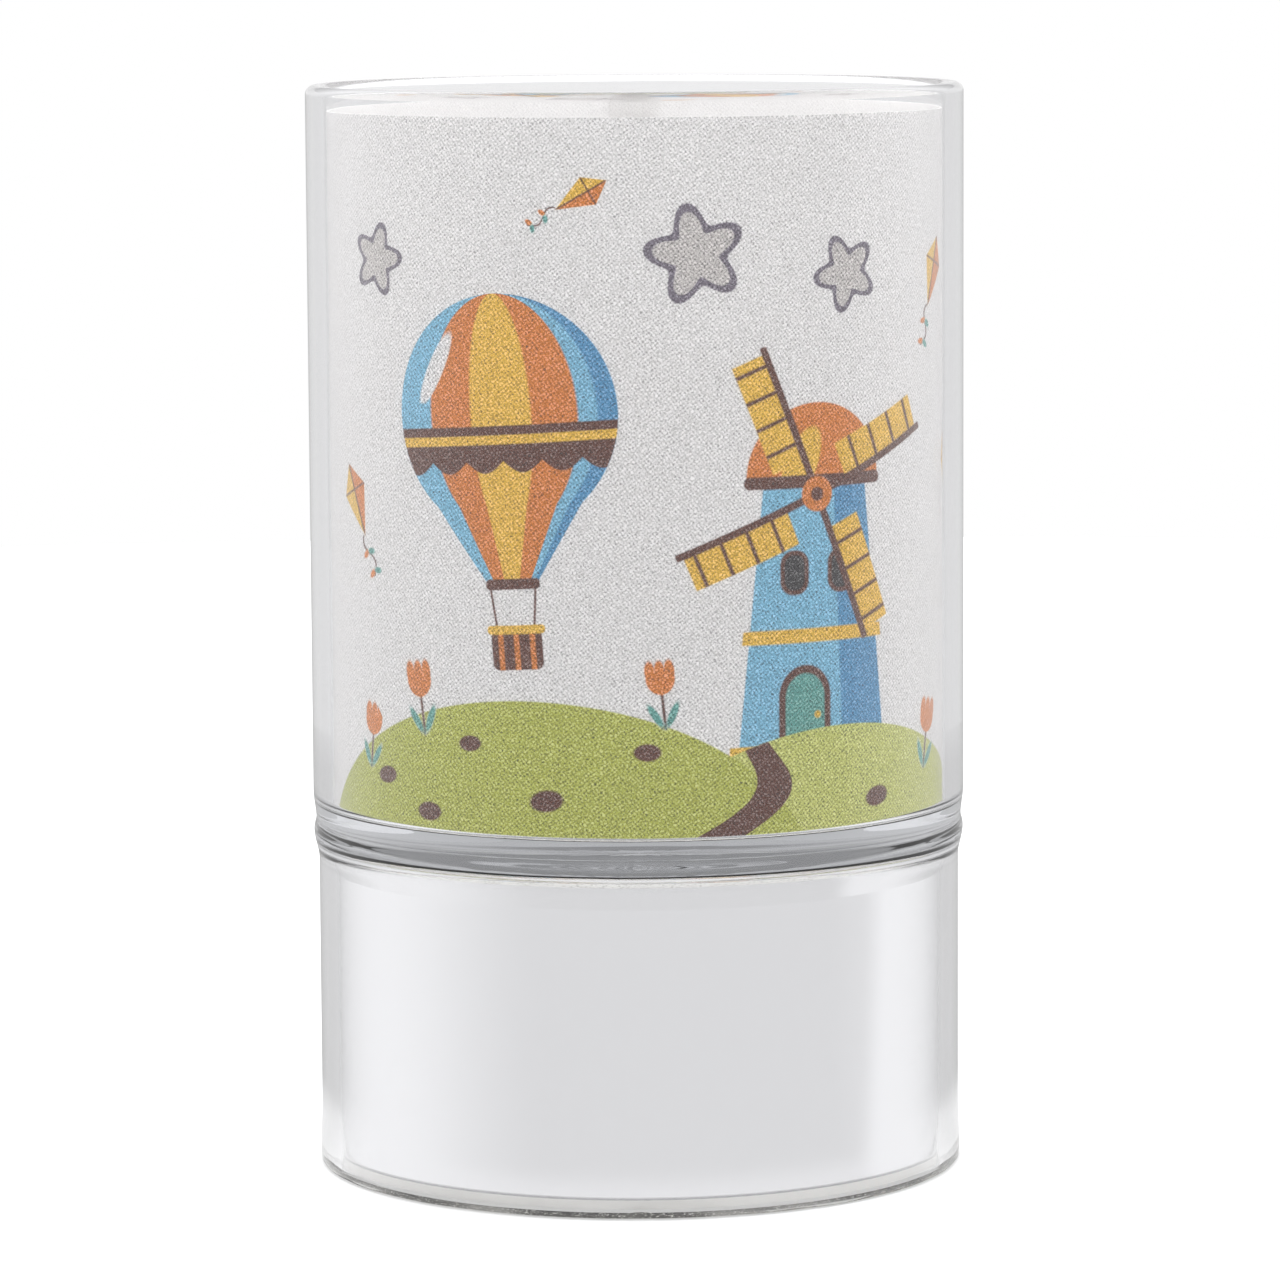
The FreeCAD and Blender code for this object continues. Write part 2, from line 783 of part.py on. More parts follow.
def switch_case():
    """The switch's pressed frame: an upturned box with two ears and slots for its terminals."""
    half_x = switch_length / 2
    half_y = switch_width / 2
    outer = block(-half_x, half_x, switch_y - half_y, switch_y + half_y, switch_floor, switch_top)
    inner = block(
        -half_x + switch_wall, half_x - switch_wall,
        switch_y - half_y + switch_wall, switch_y + half_y - switch_wall,
        switch_floor, switch_top - switch_wall,
    )
    ear_x = half_x + ear_length
    ears = block(
        -ear_x, ear_x,
        switch_y - half_y, switch_y + half_y,
        switch_floor, switch_floor + ear_thickness,
    )
    case = outer.fuse(ears).cut(inner)
    hole_r = screw_r + screw_hole_gap
    holes = [
        rod(hole_r, switch_floor, switch_floor + ear_thickness, side * ear_hole_offset, switch_y)
        for side in (-1, 1)
    ]
    slots = [terminal_block(index, switch_top - switch_wall, switch_top) for index in (-1, 0, 1)]
    return case.cut(Part.makeCompound(holes + slots)).removeSplitter()


def terminal_block(index, z0, z1):
    """The stretch of one switch terminal between two heights."""
    x = index * terminal_pitch
    half = terminal_thickness / 2
    return block(
        x - half, x + half,
        switch_y - terminal_width / 2, switch_y + terminal_width / 2,
        z0, z1,
    )


def switch_terminals():
    """Three flat pins through the top of the switch, flush with its inside."""
    pins = [terminal_block(index, switch_top - switch_wall, terminal_top) for index in (-1, 0, 1)]
    return Part.makeCompound(pins)


def switch_slider():
    """The carriage and its knob, at the off end of the travel."""
    half_x = carriage_length / 2
    half_y = switch_width / 2 - switch_wall - carriage_gap
    carriage = block(
        carriage_x - half_x, carriage_x + half_x,
        switch_y - half_y, switch_y + half_y,
        carriage_bottom, carriage_top,
    )
    knob = block(
        carriage_x - knob_length / 2, carriage_x + knob_length / 2,
        switch_y - knob_width / 2, switch_y + knob_width / 2,
        base_z + knob_recess, carriage_bottom,
    )
    groove_half = knob_groove_width / 2
    knob_bottom = base_z + knob_recess
    grip = [
        block(
            x - groove_half, x + groove_half,
            switch_y - knob_width / 2, switch_y + knob_width / 2,
            knob_bottom, knob_bottom + knob_groove_depth,
        )
        for x in (carriage_x - knob_groove_pitch, carriage_x, carriage_x + knob_groove_pitch)
    ]
    return carriage.fuse(knob).cut(Part.makeCompound(grip)).removeSplitter()


def switch_clip():
    """The bridging clip on the carriage: a strip bent up at both ends."""
    half_x = carriage_length / 2 - clip_thickness
    half_y = terminal_width / 2
    contact_z = switch_top - switch_wall - clip_gap
    base = block(
        carriage_x - half_x, carriage_x + half_x,
        switch_y - half_y, switch_y + half_y,
        carriage_top, carriage_top + clip_thickness,
    )
    parts = []
    for side in (-1, 1):
        x0, x1 = sorted((carriage_x + side * half_x, carriage_x + side * (half_x - clip_thickness)))
        parts.append(block(x0, x1, switch_y - half_y, switch_y + half_y, carriage_top, contact_z))
        x0, x1 = sorted((carriage_x + side * half_x, carriage_x + side * (half_x - clip_toe)))
        parts.append(
            block(x0, x1, switch_y - half_y, switch_y + half_y, contact_z - clip_thickness, contact_z)
        )
    return base.multiFuse(parts).removeSplitter()


def switch_screws():
    seat = switch_floor + ear_thickness
    xs = (-ear_hole_offset, ear_hole_offset)
    return Part.makeCompound([screw_shape(x, switch_y, seat, switch_screw_length) for x in xs])


def led_places():
    return [point(led_circle_r, angle) for angle in led_angles]


def leg_places(place):
    """The two legs of a diode."""
    half = led_leg_pitch / 2
    return [Vector(place.x - half, place.y, 0), Vector(place.x + half, place.y, 0)]


def led_board():
    """The round board, with holes for its screws and for the diodes' legs."""
    board = rod(board_r, board_bottom, board_top)
    hole_r = screw_r + screw_hole_gap
    holes = [rod(hole_r, board_bottom, board_top, p.x, p.y) for p in post_places()]
    for place in led_places():
        holes += [
            rod(led_leg_r + board_hole_gap, board_bottom, board_top, leg.x, leg.y)
            for leg in leg_places(place)
        ]
    return board.cut(Part.makeCompound(holes))


def led(index):
    """A round-nosed diode on the board."""
    place = led_places()[index]
    dome_z = board_top + led_height - led_body_r
    flange = rod(led_flange_r, board_top, board_top + led_flange_height, place.x, place.y)
    stem = rod(led_body_r, board_top, dome_z, place.x, place.y)
    dome = Part.makeSphere(led_body_r, Vector(place.x, place.y, dome_z), Vector(0, 0, 1), 0, 90, 360)
    return flange.multiFuse([stem, dome]).removeSplitter()


def led_legs():
    """The legs of all the diodes, down through the board."""
    legs = []
    for place in led_places():
        for leg in leg_places(place):
            legs.append(rod(led_leg_r, board_top - led_leg_length, board_top, leg.x, leg.y))
    return Part.makeCompound(legs)


def driver_chip():
    """The controller, under the middle of the board."""
    chip_top = board_bottom - chip_standoff
    return block(
        -chip_length / 2, chip_length / 2,
        -chip_width / 2, chip_width / 2,
        chip_top - chip_height, chip_top,
    )


def chip_legs():
    """Bent legs along both sides of the chip, from its sides to the board's underside."""
    legs = []
    middle_z = board_bottom - chip_standoff - chip_height / 2
    half = chip_leg_width / 2
    for side in (-1, 1):
        edge_y = side * chip_width / 2
        knee_y = edge_y + side * chip_leg_knee
        toe_y = edge_y + side * chip_leg_reach
        for index in range(chip_legs_per_side):
            x = (index - (chip_legs_per_side - 1) / 2) * chip_leg_pitch
            y0, y1 = sorted((edge_y, knee_y))
            arm = block(x - half, x + half, y0, y1, middle_z, middle_z + chip_leg_thickness)
            y0, y1 = sorted((knee_y - side * chip_leg_thickness, knee_y))
            riser = block(x - half, x + half, y0, y1, middle_z, board_bottom)
            y0, y1 = sorted((knee_y - side * chip_leg_thickness, toe_y))
            sole = block(x - half, x + half, y0, y1, board_bottom - chip_leg_thickness, board_bottom)
            legs.append(arm.multiFuse([riser, sole]).removeSplitter())
    return Part.makeCompound(legs)


def resistors():
    """One flat resistor for each diode, under the board."""
    group = []
    for angle in resistor_angles:
        piece = block(
            -resistor_width / 2, resistor_width / 2,
            -resistor_length / 2, resistor_length / 2,
            board_bottom - resistor_height, board_bottom,
        )
        piece.rotate(Vector(0, 0, 0), Vector(0, 0, 1), angle)
        piece.translate(point(resistor_circle_r, angle))
        group.append(piece)
    return Part.makeCompound(group)


def board_screws():
    screws = [screw_shape(p.x, p.y, board_top, board_screw_length) for p in post_places()]
    return Part.makeCompound(screws)


def reflector_dish():
    """The white dish: a flat rim on the drum, a sloping side and a floor with a hole for each diode."""
    floor_z = dish_floor_z
    slope_r = drum_r - dish_flat_width
    side = dish_thickness
    edges = [
        line(profile(0, floor_z), profile(dish_floor_r, floor_z)),
        line(profile(dish_floor_r, floor_z), profile(slope_r, dish_rim_top)),
        line(profile(slope_r, dish_rim_top), profile(drum_r, dish_rim_top)),
        line(profile(drum_r, dish_rim_top), profile(drum_r, drum_top)),
        line(profile(drum_r, drum_top), profile(slope_r, drum_top)),
        line(profile(slope_r, drum_top), profile(dish_floor_r, floor_z - side)),
        line(profile(dish_floor_r, floor_z - side), profile(0, floor_z - side)),
        line(profile(0, floor_z - side), profile(0, floor_z)),
    ]
    dish = turned(edges)
    holes = [
        rod(led_body_r + led_dish_gap, floor_z - 2 * side, floor_z + side, p.x, p.y) for p in led_places()
    ]
    holes += [
        rod(screw_r + screw_hole_gap, drum_top, dish_rim_top, p.x, p.y) for p in boss_places()
    ]
    return dish.cut(Part.makeCompound(holes))


def dish_screws():
    screws = [screw_shape(p.x, p.y, dish_rim_top, dish_screw_length) for p in boss_places()]
    return Part.makeCompound(screws)


def foam_ring():
    """The ring of double-sided foam between the dish's rim and the glass floor."""
    return ring(foam_outer_r, foam_inner_r, dish_rim_top, foam_top)


def lead_red():
    """From the positive terminal, over the bay, to the switch."""
    d = wire_d
    x = bay_half_x - contact_thickness
    y = cell_ys()[-1]
    end_x = terminal_pitch
    return tube_along(
        [
            Vector(x, y, tab_wire_z),
            Vector(x - 3 * d, y, tab_wire_z),
            Vector(x - 6 * d, y - 5.5 * d, tab_wire_z + 0.5 * d),
            Vector(x - 8 * d, y - 13 * d, tab_wire_z + d),
            Vector(end_x + 7 * d, switch_y + 9.5 * d, tab_wire_z + 0.5 * d),
            Vector(end_x + 3 * d, switch_y + 4 * d, tab_wire_z - 0.5 * d),
            Vector(end_x, switch_y, terminal_top + 3.5 * d),
            Vector(end_x, switch_y, terminal_top),
        ],
        wire_d / 2,
    )


def lead_yellow():
    """From the switch's middle terminal, past a post, up to the board."""
    d = wire_d
    end_y = -post_circle_r + 4.5 * d
    return tube_along(
        [
            Vector(0, switch_y, terminal_top),
            Vector(0, switch_y, terminal_top + 3 * d),
            Vector(-1.5 * d, switch_y + 2.5 * d, tab_wire_z - 0.5 * d),
            Vector(-4 * d, switch_y + 6.5 * d, tab_wire_z + 1.5 * d),
            Vector(-4 * d, end_y - 2.5 * d, board_bottom - 3.5 * d),
            Vector(-2 * d, end_y, board_bottom - 2.5 * d),
            Vector(-2 * d, end_y, board_bottom),
        ],
        wire_d / 2,
    )


def lead_black():
    """From the negative terminal, over the bay, up to the board."""
    d = wire_d
    x = -bay_half_x + contact_thickness
    y = cell_ys()[0]
    return tube_along(
        [
            Vector(x, y, tab_wire_z),
            Vector(x + 3.5 * d, y, tab_wire_z),
            Vector(x + 7 * d, y + 2.5 * d, tab_wire_z + 0.5 * d),
            Vector(x + 10 * d, y + 5 * d, tab_wire_z + 2 * d),
            Vector(x + 11.5 * d, y + 7.5 * d, board_bottom - 2.5 * d),
            Vector(x + 11.5 * d, y + 7.5 * d, board_bottom),
        ],
        wire_d / 2,
    )


def main():
    os.makedirs("parts", exist_ok=True)
    save("glass_body", glass_body())
    save(
        "print_sleeve",
        rolled_sheet(
            sleeve_outer_r, sleeve_thickness, sleeve_lap, sleeve_lap_gap, sleeve_bottom, sleeve_height
        ),
    )
    save("seam_tape", seam_tape())
    save(
        "mirror_liner",
        rolled_sheet(
            liner_outer_r, liner_thickness, liner_lap, liner_lap_gap, liner_bottom, liner_height
        ),
    )
    save("module_housing", module_housing())
    save("foam_ring", foam_ring())
    save("reflector_dish", reflector_dish())
    save("dish_screws", dish_screws())
    save("led_board", led_board())
    save("board_screws", board_screws())
    for index in range(len(led_angles)):
        save(f"led_{index + 1}", led(index))
    save("led_legs", led_legs())
    save("driver_chip", driver_chip())
    save("chip_legs", chip_legs())
    save("resistors", resistors())
    for index in range(cell_count):
        save(f"battery_{index + 1}", battery(index))
        save(f"contact_spring_{index + 1}", contact_spring(index))
    save("link_contact_right", link_contact_right())
    save("link_contact_left", link_contact_left())
    save("positive_terminal", positive_terminal())
    save("negative_terminal", negative_terminal())
    save("battery_door", battery_door())
    save("switch_case", switch_case())
    save("switch_slider", switch_slider())
    save("switch_clip", switch_clip())
    save("switch_terminals", switch_terminals())
    save("switch_screws", switch_screws())
    save("lead_red", lead_red())
    save("lead_black", lead_black())
    save("lead_yellow", lead_yellow())


main()
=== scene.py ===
"""Looks of a glass night lamp: a clear glass body, a rolled printed sleeve, a rolled mirror liner and
the finishes of the light module's pieces. Lengths are metres in the frame's own axes.
"""

import math

import bpy
import numpy as np
from mathutils import Matrix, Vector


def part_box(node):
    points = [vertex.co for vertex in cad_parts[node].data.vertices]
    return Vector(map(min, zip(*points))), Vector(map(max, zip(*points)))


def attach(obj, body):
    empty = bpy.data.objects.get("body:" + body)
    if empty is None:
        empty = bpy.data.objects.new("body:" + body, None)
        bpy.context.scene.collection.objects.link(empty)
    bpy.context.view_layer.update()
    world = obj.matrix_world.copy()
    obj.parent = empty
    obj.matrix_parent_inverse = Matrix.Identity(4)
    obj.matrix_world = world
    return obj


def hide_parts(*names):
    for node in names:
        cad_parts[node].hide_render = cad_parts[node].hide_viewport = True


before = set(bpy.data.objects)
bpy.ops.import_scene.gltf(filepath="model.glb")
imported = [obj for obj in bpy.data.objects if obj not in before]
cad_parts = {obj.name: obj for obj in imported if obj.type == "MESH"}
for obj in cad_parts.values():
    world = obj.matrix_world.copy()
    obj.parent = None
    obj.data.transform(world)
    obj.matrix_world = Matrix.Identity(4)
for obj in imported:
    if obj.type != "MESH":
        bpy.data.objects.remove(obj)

bl_info = {
    "name": "Glass night lamp",
    "version": (1, 0, 0),
    "blender": (4, 5, 0),
    "location": "3D View > Sidebar > Lamp",
    "description": "Builds the visible pieces and the finishes of a glass night lamp round its frame",
    "category": "Object",
}

MM = 0.001
BODY = "lamp"

# Measures that come from the frame
GLASS_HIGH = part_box("glass_body")[1]
SLEEVE_LOW, SLEEVE_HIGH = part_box("print_sleeve")
LINER_LOW, LINER_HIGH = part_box("mirror_liner")
CELL_LOW, CELL_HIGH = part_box("battery_2")
BOARD_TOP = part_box("led_board")[1].z

# The laps of both sheets are at the back, +Y, and the front is at -Y
BACK = math.radians(90)
FRONT = math.radians(270)


# Sizes and colours

def size_field(name, description, default):
    """A length that a user can set."""
    return bpy.props.FloatProperty(
        name=name, description=description, default=default, min=0, precision=5, unit="LENGTH"
    )


def linear(code):
    """The linear colour of a six-digit hexadecimal one."""
    parts = np.array([int(code[k:k + 2], 16) for k in (0, 2, 4)]) / 255
    return tuple(np.where(parts <= 0.04045, parts / 12.92, ((parts + 0.055) / 1.055) ** 2.4))


def colour_field(name, description, code):
    """A colour that a user can set."""
    return bpy.props.FloatVectorProperty(
        name=name, description=description, default=linear(code), min=0, max=1, size=3, subtype="COLOR"
    )


class LampGlass(bpy.types.PropertyGroup):
    """Sizes of the glass body."""

    chamber_r: size_field("Chamber radius", "Outer radius above the waist", GLASS_HIGH.x)
    skirt_r: size_field("Skirt radius", "Outer radius below the waist", 36.9 * MM)
    wall: size_field("Wall", "Thickness of the glass wall", 2.1 * MM)
    height: size_field("Height", "From the table to the rim", GLASS_HIGH.z)
    floor_top: size_field("Floor top", "Height of the floor's upper face", 42.0 * MM)
    floor_thickness: size_field("Floor thickness", "Thickness of the glass floor", 4.0 * MM)
    tint: colour_field("Tint", "Colour of light that has gone through thick glass", "dbdcde")


class LampSheets(bpy.types.PropertyGroup):
    """Sizes of the two rolled sheets."""

    fabric: size_field("Fabric thickness", "Thickness of the printed sleeve", 0.3 * MM)
    fabric_lap: size_field("Fabric lap", "Width of the sleeve's lap at the back", 6.0 * MM)
    fabric_gap: size_field("Fabric lap gap", "Room for the tape in the lap", 0.14 * MM)
    film: size_field("Film thickness", "Thickness of the mirror liner", 0.2 * MM)
    film_lap: size_field("Film lap", "Width of the liner's lap at the back", 5.0 * MM)
    film_gap: size_field("Film lap gap", "Gap between the liner's two layers", 0.02 * MM)
    joggle: size_field("Joggle", "Length of sheet over which a lap steps inwards", 3.0 * MM)
    weave: size_field("Weave pitch", "Distance between two threads of the fabric", 0.38 * MM)


class LampPrint(bpy.types.PropertyGroup):
    """Inks of the printed picture."""

    cloth: colour_field("Cloth", "Bare fabric", "efeeed")
    sky_blue: colour_field("Sky blue", "Balloon and mill", "80c2e0")
    deep_blue: colour_field("Deep blue", "Shaded side of the blue parts", "4f9ac8")
    orange: colour_field("Orange", "Balloon, roof and kites", "e08426")
    yellow: colour_field("Yellow", "Balloon, sails and kites", "f0c23c")
    brown: colour_field("Brown", "Basket, path and outlines", "64321f")
    green: colour_field("Green", "Front hill", "bcc24e")
    pale_green: colour_field("Pale green", "Far hill", "cbd06e")
    grey: colour_field("Grey", "Stars", "d2cecb")
    violet_grey: colour_field("Violet grey", "Outline of the stars", "7a7280")
    charcoal: colour_field("Charcoal", "Windows of the mill", "302e31")
    teal: colour_field("Teal", "Door, leaves and bows", "5fa89f")


SETTINGS = {"lamp_glass": LampGlass, "lamp_sheets": LampSheets, "lamp_print": LampPrint}


# Meshes

def add_mesh(name, points, faces, materials, uv=None, face_material=None):
    """A mesh object at the origin from arrays of points and faces, smooth-shaded."""
    mesh = bpy.data.meshes.new(name)
    mesh.from_pydata(points.tolist(), [], faces)
    for material in materials:
        mesh.materials.append(material)
    if face_material is not None:
        mesh.polygons.foreach_set("material_index", face_material)
    if uv is not None:
        layer = mesh.uv_layers.new(name="sheet")
        corner = np.zeros(len(mesh.loops), np.int32)
        mesh.loops.foreach_get("vertex_index", corner)
        layer.data.foreach_set("uv", uv[corner].astype(np.float32).ravel())
    mesh.validate()
    mesh.shade_smooth()
    mesh.set_sharp_from_angle(angle=math.radians(40))
    piece = bpy.data.objects.new(name, mesh)
    bpy.context.scene.collection.objects.link(piece)
    return piece


def ring_quads(rows, columns):
    """Quads between neighbouring rows of a grid whose columns close in a ring."""
    row, column = np.meshgrid(np.arange(rows - 1), np.arange(columns), indexing="ij")
    after = (column + 1) % columns
    corners = [row * columns + column, row * columns + after]
    corners += [(row + 1) * columns + after, (row + 1) * columns + column]
    return np.stack(corners, axis=-1).reshape(-1, 4)


def turned(profile, around, ripple):
    """Surface of revolution. A profile point (r, z) at angle a goes to (r cos a, r sin a, z). The
    profile starts and ends on the axis, where the surface closes in a pole. ripple(r, z, a) gives
    small changes of r and z."""
    angle = np.linspace(0, 2 * math.pi, around, endpoint=False)[None, :]
    r = profile[1:-1, 0][:, None] + 0 * angle
    z = profile[1:-1, 1][:, None] + 0 * angle
    change_r, change_z = ripple(r, z, angle + 0 * r)
    r = r + change_r
    z = z + change_z
    grid = np.stack([r * np.cos(angle), r * np.sin(angle), z], axis=-1).reshape(-1, 3)
    rows = len(profile) - 2
    poles = np.array([[0, 0, profile[0, 1]], [0, 0, profile[-1, 1]]])
    here = np.arange(around)
    after = (here + 1) % around
    last = (rows - 1) * around
    first_fan = np.stack([here * 0 + len(grid), here, after], axis=-1)
    last_fan = np.stack([here * 0 + len(grid) + 1, last + after, last + here], axis=-1)
    faces = ring_quads(rows, around)[:, ::-1].tolist() + first_fan.tolist() + last_fan.tolist()
    return np.concatenate([grid, poles]), faces


def straight(a, b, step):
    """Points from a towards b, without b: close together at both ends, so that the smooth shading
    of a bend stays out of the straight stretch."""
    a = np.array(a, float)
    b = np.array(b, float)
    length = np.linalg.norm(b - a)
    count = max(int(length / step), 1)
    ends = min(0.06 * MM / length, 0.2)
    share = np.concatenate([[0, ends], np.linspace(0, 1, count + 1)[1:-1], [1 - ends]])
    return a + np.outer(share, b - a)


def bend(centre, radius, start, end, steps):
    """Points of a round corner from one angle in degrees to another, without the last."""
    angle = np.radians(np.linspace(start, end, steps, endpoint=False))
    return np.array(centre) + radius * np.stack([np.cos(angle), np.sin(angle)], axis=-1)


def flowing(points, ways, steps):
    """Cubic Hermite curve through points with the given directions there, without the last point:
    p(t) = h0 p0 + h1 m0 + h2 p1 + h3 m1, with tangents as long as the span."""
    out = []
    t = np.linspace(0, 1, steps, endpoint=False)[:, None]
    for p0, p1, way0, way1 in zip(points, points[1:], ways, ways[1:]):
        p0 = np.array(p0, float)
        p1 = np.array(p1, float)
        span = np.linalg.norm(p1 - p0)
        m0 = np.array(way0, float) * span
        m1 = np.array(way1, float) * span
        h0 = 2 * t**3 - 3 * t**2 + 1
        h1 = t**3 - 2 * t**2 + t
        h2 = -2 * t**3 + 3 * t**2
        h3 = t**3 - t**2
        out.append(h0 * p0 + h1 * m0 + h2 * p1 + h3 * m1)
    return np.concatenate(out)


# Round corners at the chamber's floor and under the glass floor
CHAMBER_CORNER = 1.0 * MM
SKIRT_CORNER = 1.5 * MM

# The foot swells a little towards the table, its lower edge is ground, and its inner edge is broken
FOOT_SWELL = 0.15 * MM
SWELL_START = 7.0 * MM
SWELL_END = 2.0 * MM
GROUND_EDGE = 0.45 * MM
GROUND_WIDTH = 0.55 * MM
INNER_EDGE = 0.4 * MM

# Rise of the floor's underside in its middle, and points round the glass
CEILING_RISE = 0.55 * MM
GLASS_AROUND = 360


def glass_profile(glass):
    """Half section of the glass, from the axis on top of its floor, over the rim, down the outside,
    round the foot and up the inside to the axis under the floor."""
    outer = glass.chamber_r
    inner = outer - glass.wall
    skirt = glass.skirt_r
    skirt_inner = skirt - glass.wall
    top = glass.floor_top
    under = top - glass.floor_thickness
    rim = glass.wall / 2
    rim_z = glass.height - rim
    foot = skirt + FOOT_SWELL
    upper = CHAMBER_CORNER
    lower = SKIRT_CORNER
    edge = INNER_EDGE
    down = (0, -1)
    waist = [
        (outer, top + 1.2 * MM),
        (outer - 0.3 * MM, top - 1.8 * MM),
        (outer - 0.05 * MM, top - 3.3 * MM),
        (skirt, top - 6.7 * MM),
    ]
    return np.concatenate([
        straight((0, top), (inner - upper, top), 4 * MM),
        bend((inner - upper, top + upper), upper, -90, 0, 10),
        straight((inner, top + upper), (inner, rim_z), 8 * MM),
        bend((inner + rim, rim_z), rim, 180, 0, 24),
        straight((outer, rim_z), waist[0], 8 * MM),
        flowing(waist, [down, (-0.05, -1), down, down], 12),
        straight(waist[-1], (skirt, SWELL_START), 6 * MM),
        flowing([(skirt, SWELL_START), (foot, SWELL_END)], [down, down], 8),
        straight((foot, SWELL_END), (foot, GROUND_EDGE), 0.3 * MM),
        flowing([(foot, GROUND_EDGE), (foot - GROUND_WIDTH, 0)], [down, (-1, 0)], 8),
        straight((foot - GROUND_WIDTH, 0), (skirt_inner + edge, 0), 0.4 * MM),
        flowing([(skirt_inner + edge, 0), (skirt_inner, edge)], [(-1, 0), (0, 1)], 6),
        straight((skirt_inner, edge), (skirt_inner, under - lower), 6 * MM),
        bend((skirt_inner - lower, under - lower), lower, 0, 90, 14),
        straight((skirt_inner - lower, under), (0, under), 4 * MM),
        [(0, under)],
    ])


def wave(angle, turns, size, shift=0.0):
    """A sine round the glass, with whole waves."""
    return size * np.sin(turns * angle + shift)


def worked_glass(glass, r, z, angle):
    """Small changes of r and z, as hand work leaves them: waves near the fused waist, which fade as
    exp(-d^2) away from it, an underside of the floor that rises as 1 - (r / R)^2, and a ground edge
    of uneven height with a knot in front."""
    under = glass.floor_top - glass.floor_thickness
    inner = glass.skirt_r - glass.wall
    ceiling_r = inner - SKIRT_CORNER
    waist = np.exp(-(((z - under) / (4 * MM)) ** 2)) * (r < inner + 0.2 * MM)
    swell = wave(angle, 5, 0.006, 0.8) + wave(angle, 17, 0.003) + wave(angle, 41, 0.0015, 2)
    ceiling = (np.abs(z - under) < 0.01 * MM) * (r < ceiling_r)
    dome = CEILING_RISE * ceiling * (1 - (r / ceiling_r) ** 2)
    patches = wave(angle, 3, 0.16, 1.1) + wave(angle, 8, 0.1) + wave(angle, 23, 0.07, 0.6)
    knot = 0.3 * np.exp(-(((angle - FRONT) / 0.05) ** 2))
    above = np.maximum(z - GROUND_EDGE, 0) / (0.6 * MM)
    reach = np.clip(z / GROUND_EDGE, 0, 1) * np.exp(-(above**2))
    edge = (patches + knot) * reach * (r > inner + 0.5 * MM) * MM
    return -np.abs(0.3 * waist * swell * MM), waist * swell * MM + dome + edge


def rolled_sheet(outer_r, thickness, lap, lap_gap, joggle, low, high, rows, columns):
    """Closed shell of a sheet rolled once round. Its length s runs from the back, by the left side
    and the front, to the back again. The angle is a = start + s / r and the outer radius R, until
    the last stretch before the start steps inwards by thickness + gap over the joggle with
    R - step (3 t^2 - 2 t^3), and then laps inside the start. The UV is (s / length, height)."""
    middle_r = outer_r - thickness / 2
    step = thickness + lap_gap
    lap_turn = lap / middle_r
    joggle_turn = joggle / middle_r
    start = BACK - lap_turn / 2
    once_round = start + 2 * math.pi
    end = once_round + lap_turn
    coarse = np.linspace(start, once_round - joggle_turn, columns)
    fine = np.linspace(once_round - joggle_turn, once_round, 16)[1:]
    angle = np.concatenate([coarse, fine, np.linspace(once_round, end, 16)[1:]])
    t = np.clip((angle - (once_round - joggle_turn)) / joggle_turn, 0, 1)
    face_r = outer_r - step * (3 * t**2 - 2 * t**3)
    share = (angle - start) / (end - start)
    radius = np.concatenate([face_r, (face_r - thickness)[::-1]])
    turn = np.concatenate([angle, angle[::-1]])
    along = np.concatenate([share, share[::-1]])
    height = np.linspace(0, 1, rows)[:, None]
    z = low + (high - low) * height
    x = radius * np.cos(turn) + 0 * z
    y = radius * np.sin(turn) + 0 * z
    grid = np.stack([x, y, z + 0 * turn], axis=-1)
    uv = np.stack([along + 0 * height, height + 0 * along], axis=-1).reshape(-1, 2)
    count = len(angle)
    ring = 2 * count
    walls = ring_quads(rows, ring)
    i = np.arange(count - 1)
    lower_rim = np.stack([i + 1, i, ring - 1 - i, ring - 2 - i], axis=-1)
    upper_rim = np.stack([i, i + 1, ring - 2 - i, ring - 1 - i], axis=-1) + (rows - 1) * ring
    faces = np.concatenate([walls, lower_rim, upper_rim])
    column = np.tile(np.arange(ring), rows - 1)
    inside_face = np.concatenate([column >= count, np.ones(2 * (count - 1), bool)])
    return grid.reshape(-1, 3), faces.tolist(), uv, inside_face.astype(np.int32)


# Node trees

class Field:
    """A number or a vector that changes over a surface. Arithmetic on it adds nodes to its tree."""

    def __init__(self, socket):
        self.socket = socket
        self.tree = socket.id_data

    def __add__(self, other):
        return math_node("ADD", self, other)

    def __radd__(self, other):
        return math_node("ADD", self, other)

    def __sub__(self, other):
        return math_node("SUBTRACT", self, other)

    def __rsub__(self, other):
        return math_node("SUBTRACT", other, self)

    def __mul__(self, other):
        return math_node("MULTIPLY", self, other)

    def __truediv__(self, other):
        return math_node("DIVIDE", self, other)

    def __abs__(self):
        return math_node("ABSOLUTE", self)


def set_inputs(node, values):
    """Gives inputs, by name or by number, a field, a socket, a colour or a number."""
    for key, value in values.items():
        socket = node.inputs[key]
        if isinstance(value, Field):
            value = value.socket
        if isinstance(value, bpy.types.NodeSocket):
            node.id_data.links.new(value, socket)
        elif socket.type == "RGBA":
            socket.default_value = (*value[:3], 1)
        else:
            socket.default_value = value


def add_node(tree, kind, inputs, **settings):
    """A node with its settings and its inputs."""
    node = tree.nodes.new(kind)
    for name, value in settings.items():
        setattr(node, name, value)
    set_inputs(node, inputs)
    return node


def add_among(values, kind, inputs=None, **settings):
    """A node in the tree of the first field among some values, which are its inputs in order."""
    tree = next(value.tree for value in values if isinstance(value, Field))
    return add_node(tree, kind, dict(enumerate(values)) if inputs is None else inputs, **settings)


def outputs_of(node):
    """The outputs of a node by name."""
    return {socket.name: Field(socket) for socket in node.outputs}


def math_node(operation, *values):
    return Field(add_among(values, "ShaderNodeMath", operation=operation).outputs[0])


def vector_node(operation, *values):
    """A Vector Math node. Its output is a number for LENGTH and a vector otherwise."""
    node = add_among(values, "ShaderNodeVectorMath", operation=operation)
    return Field(node.outputs["Value" if operation == "LENGTH" else "Vector"])


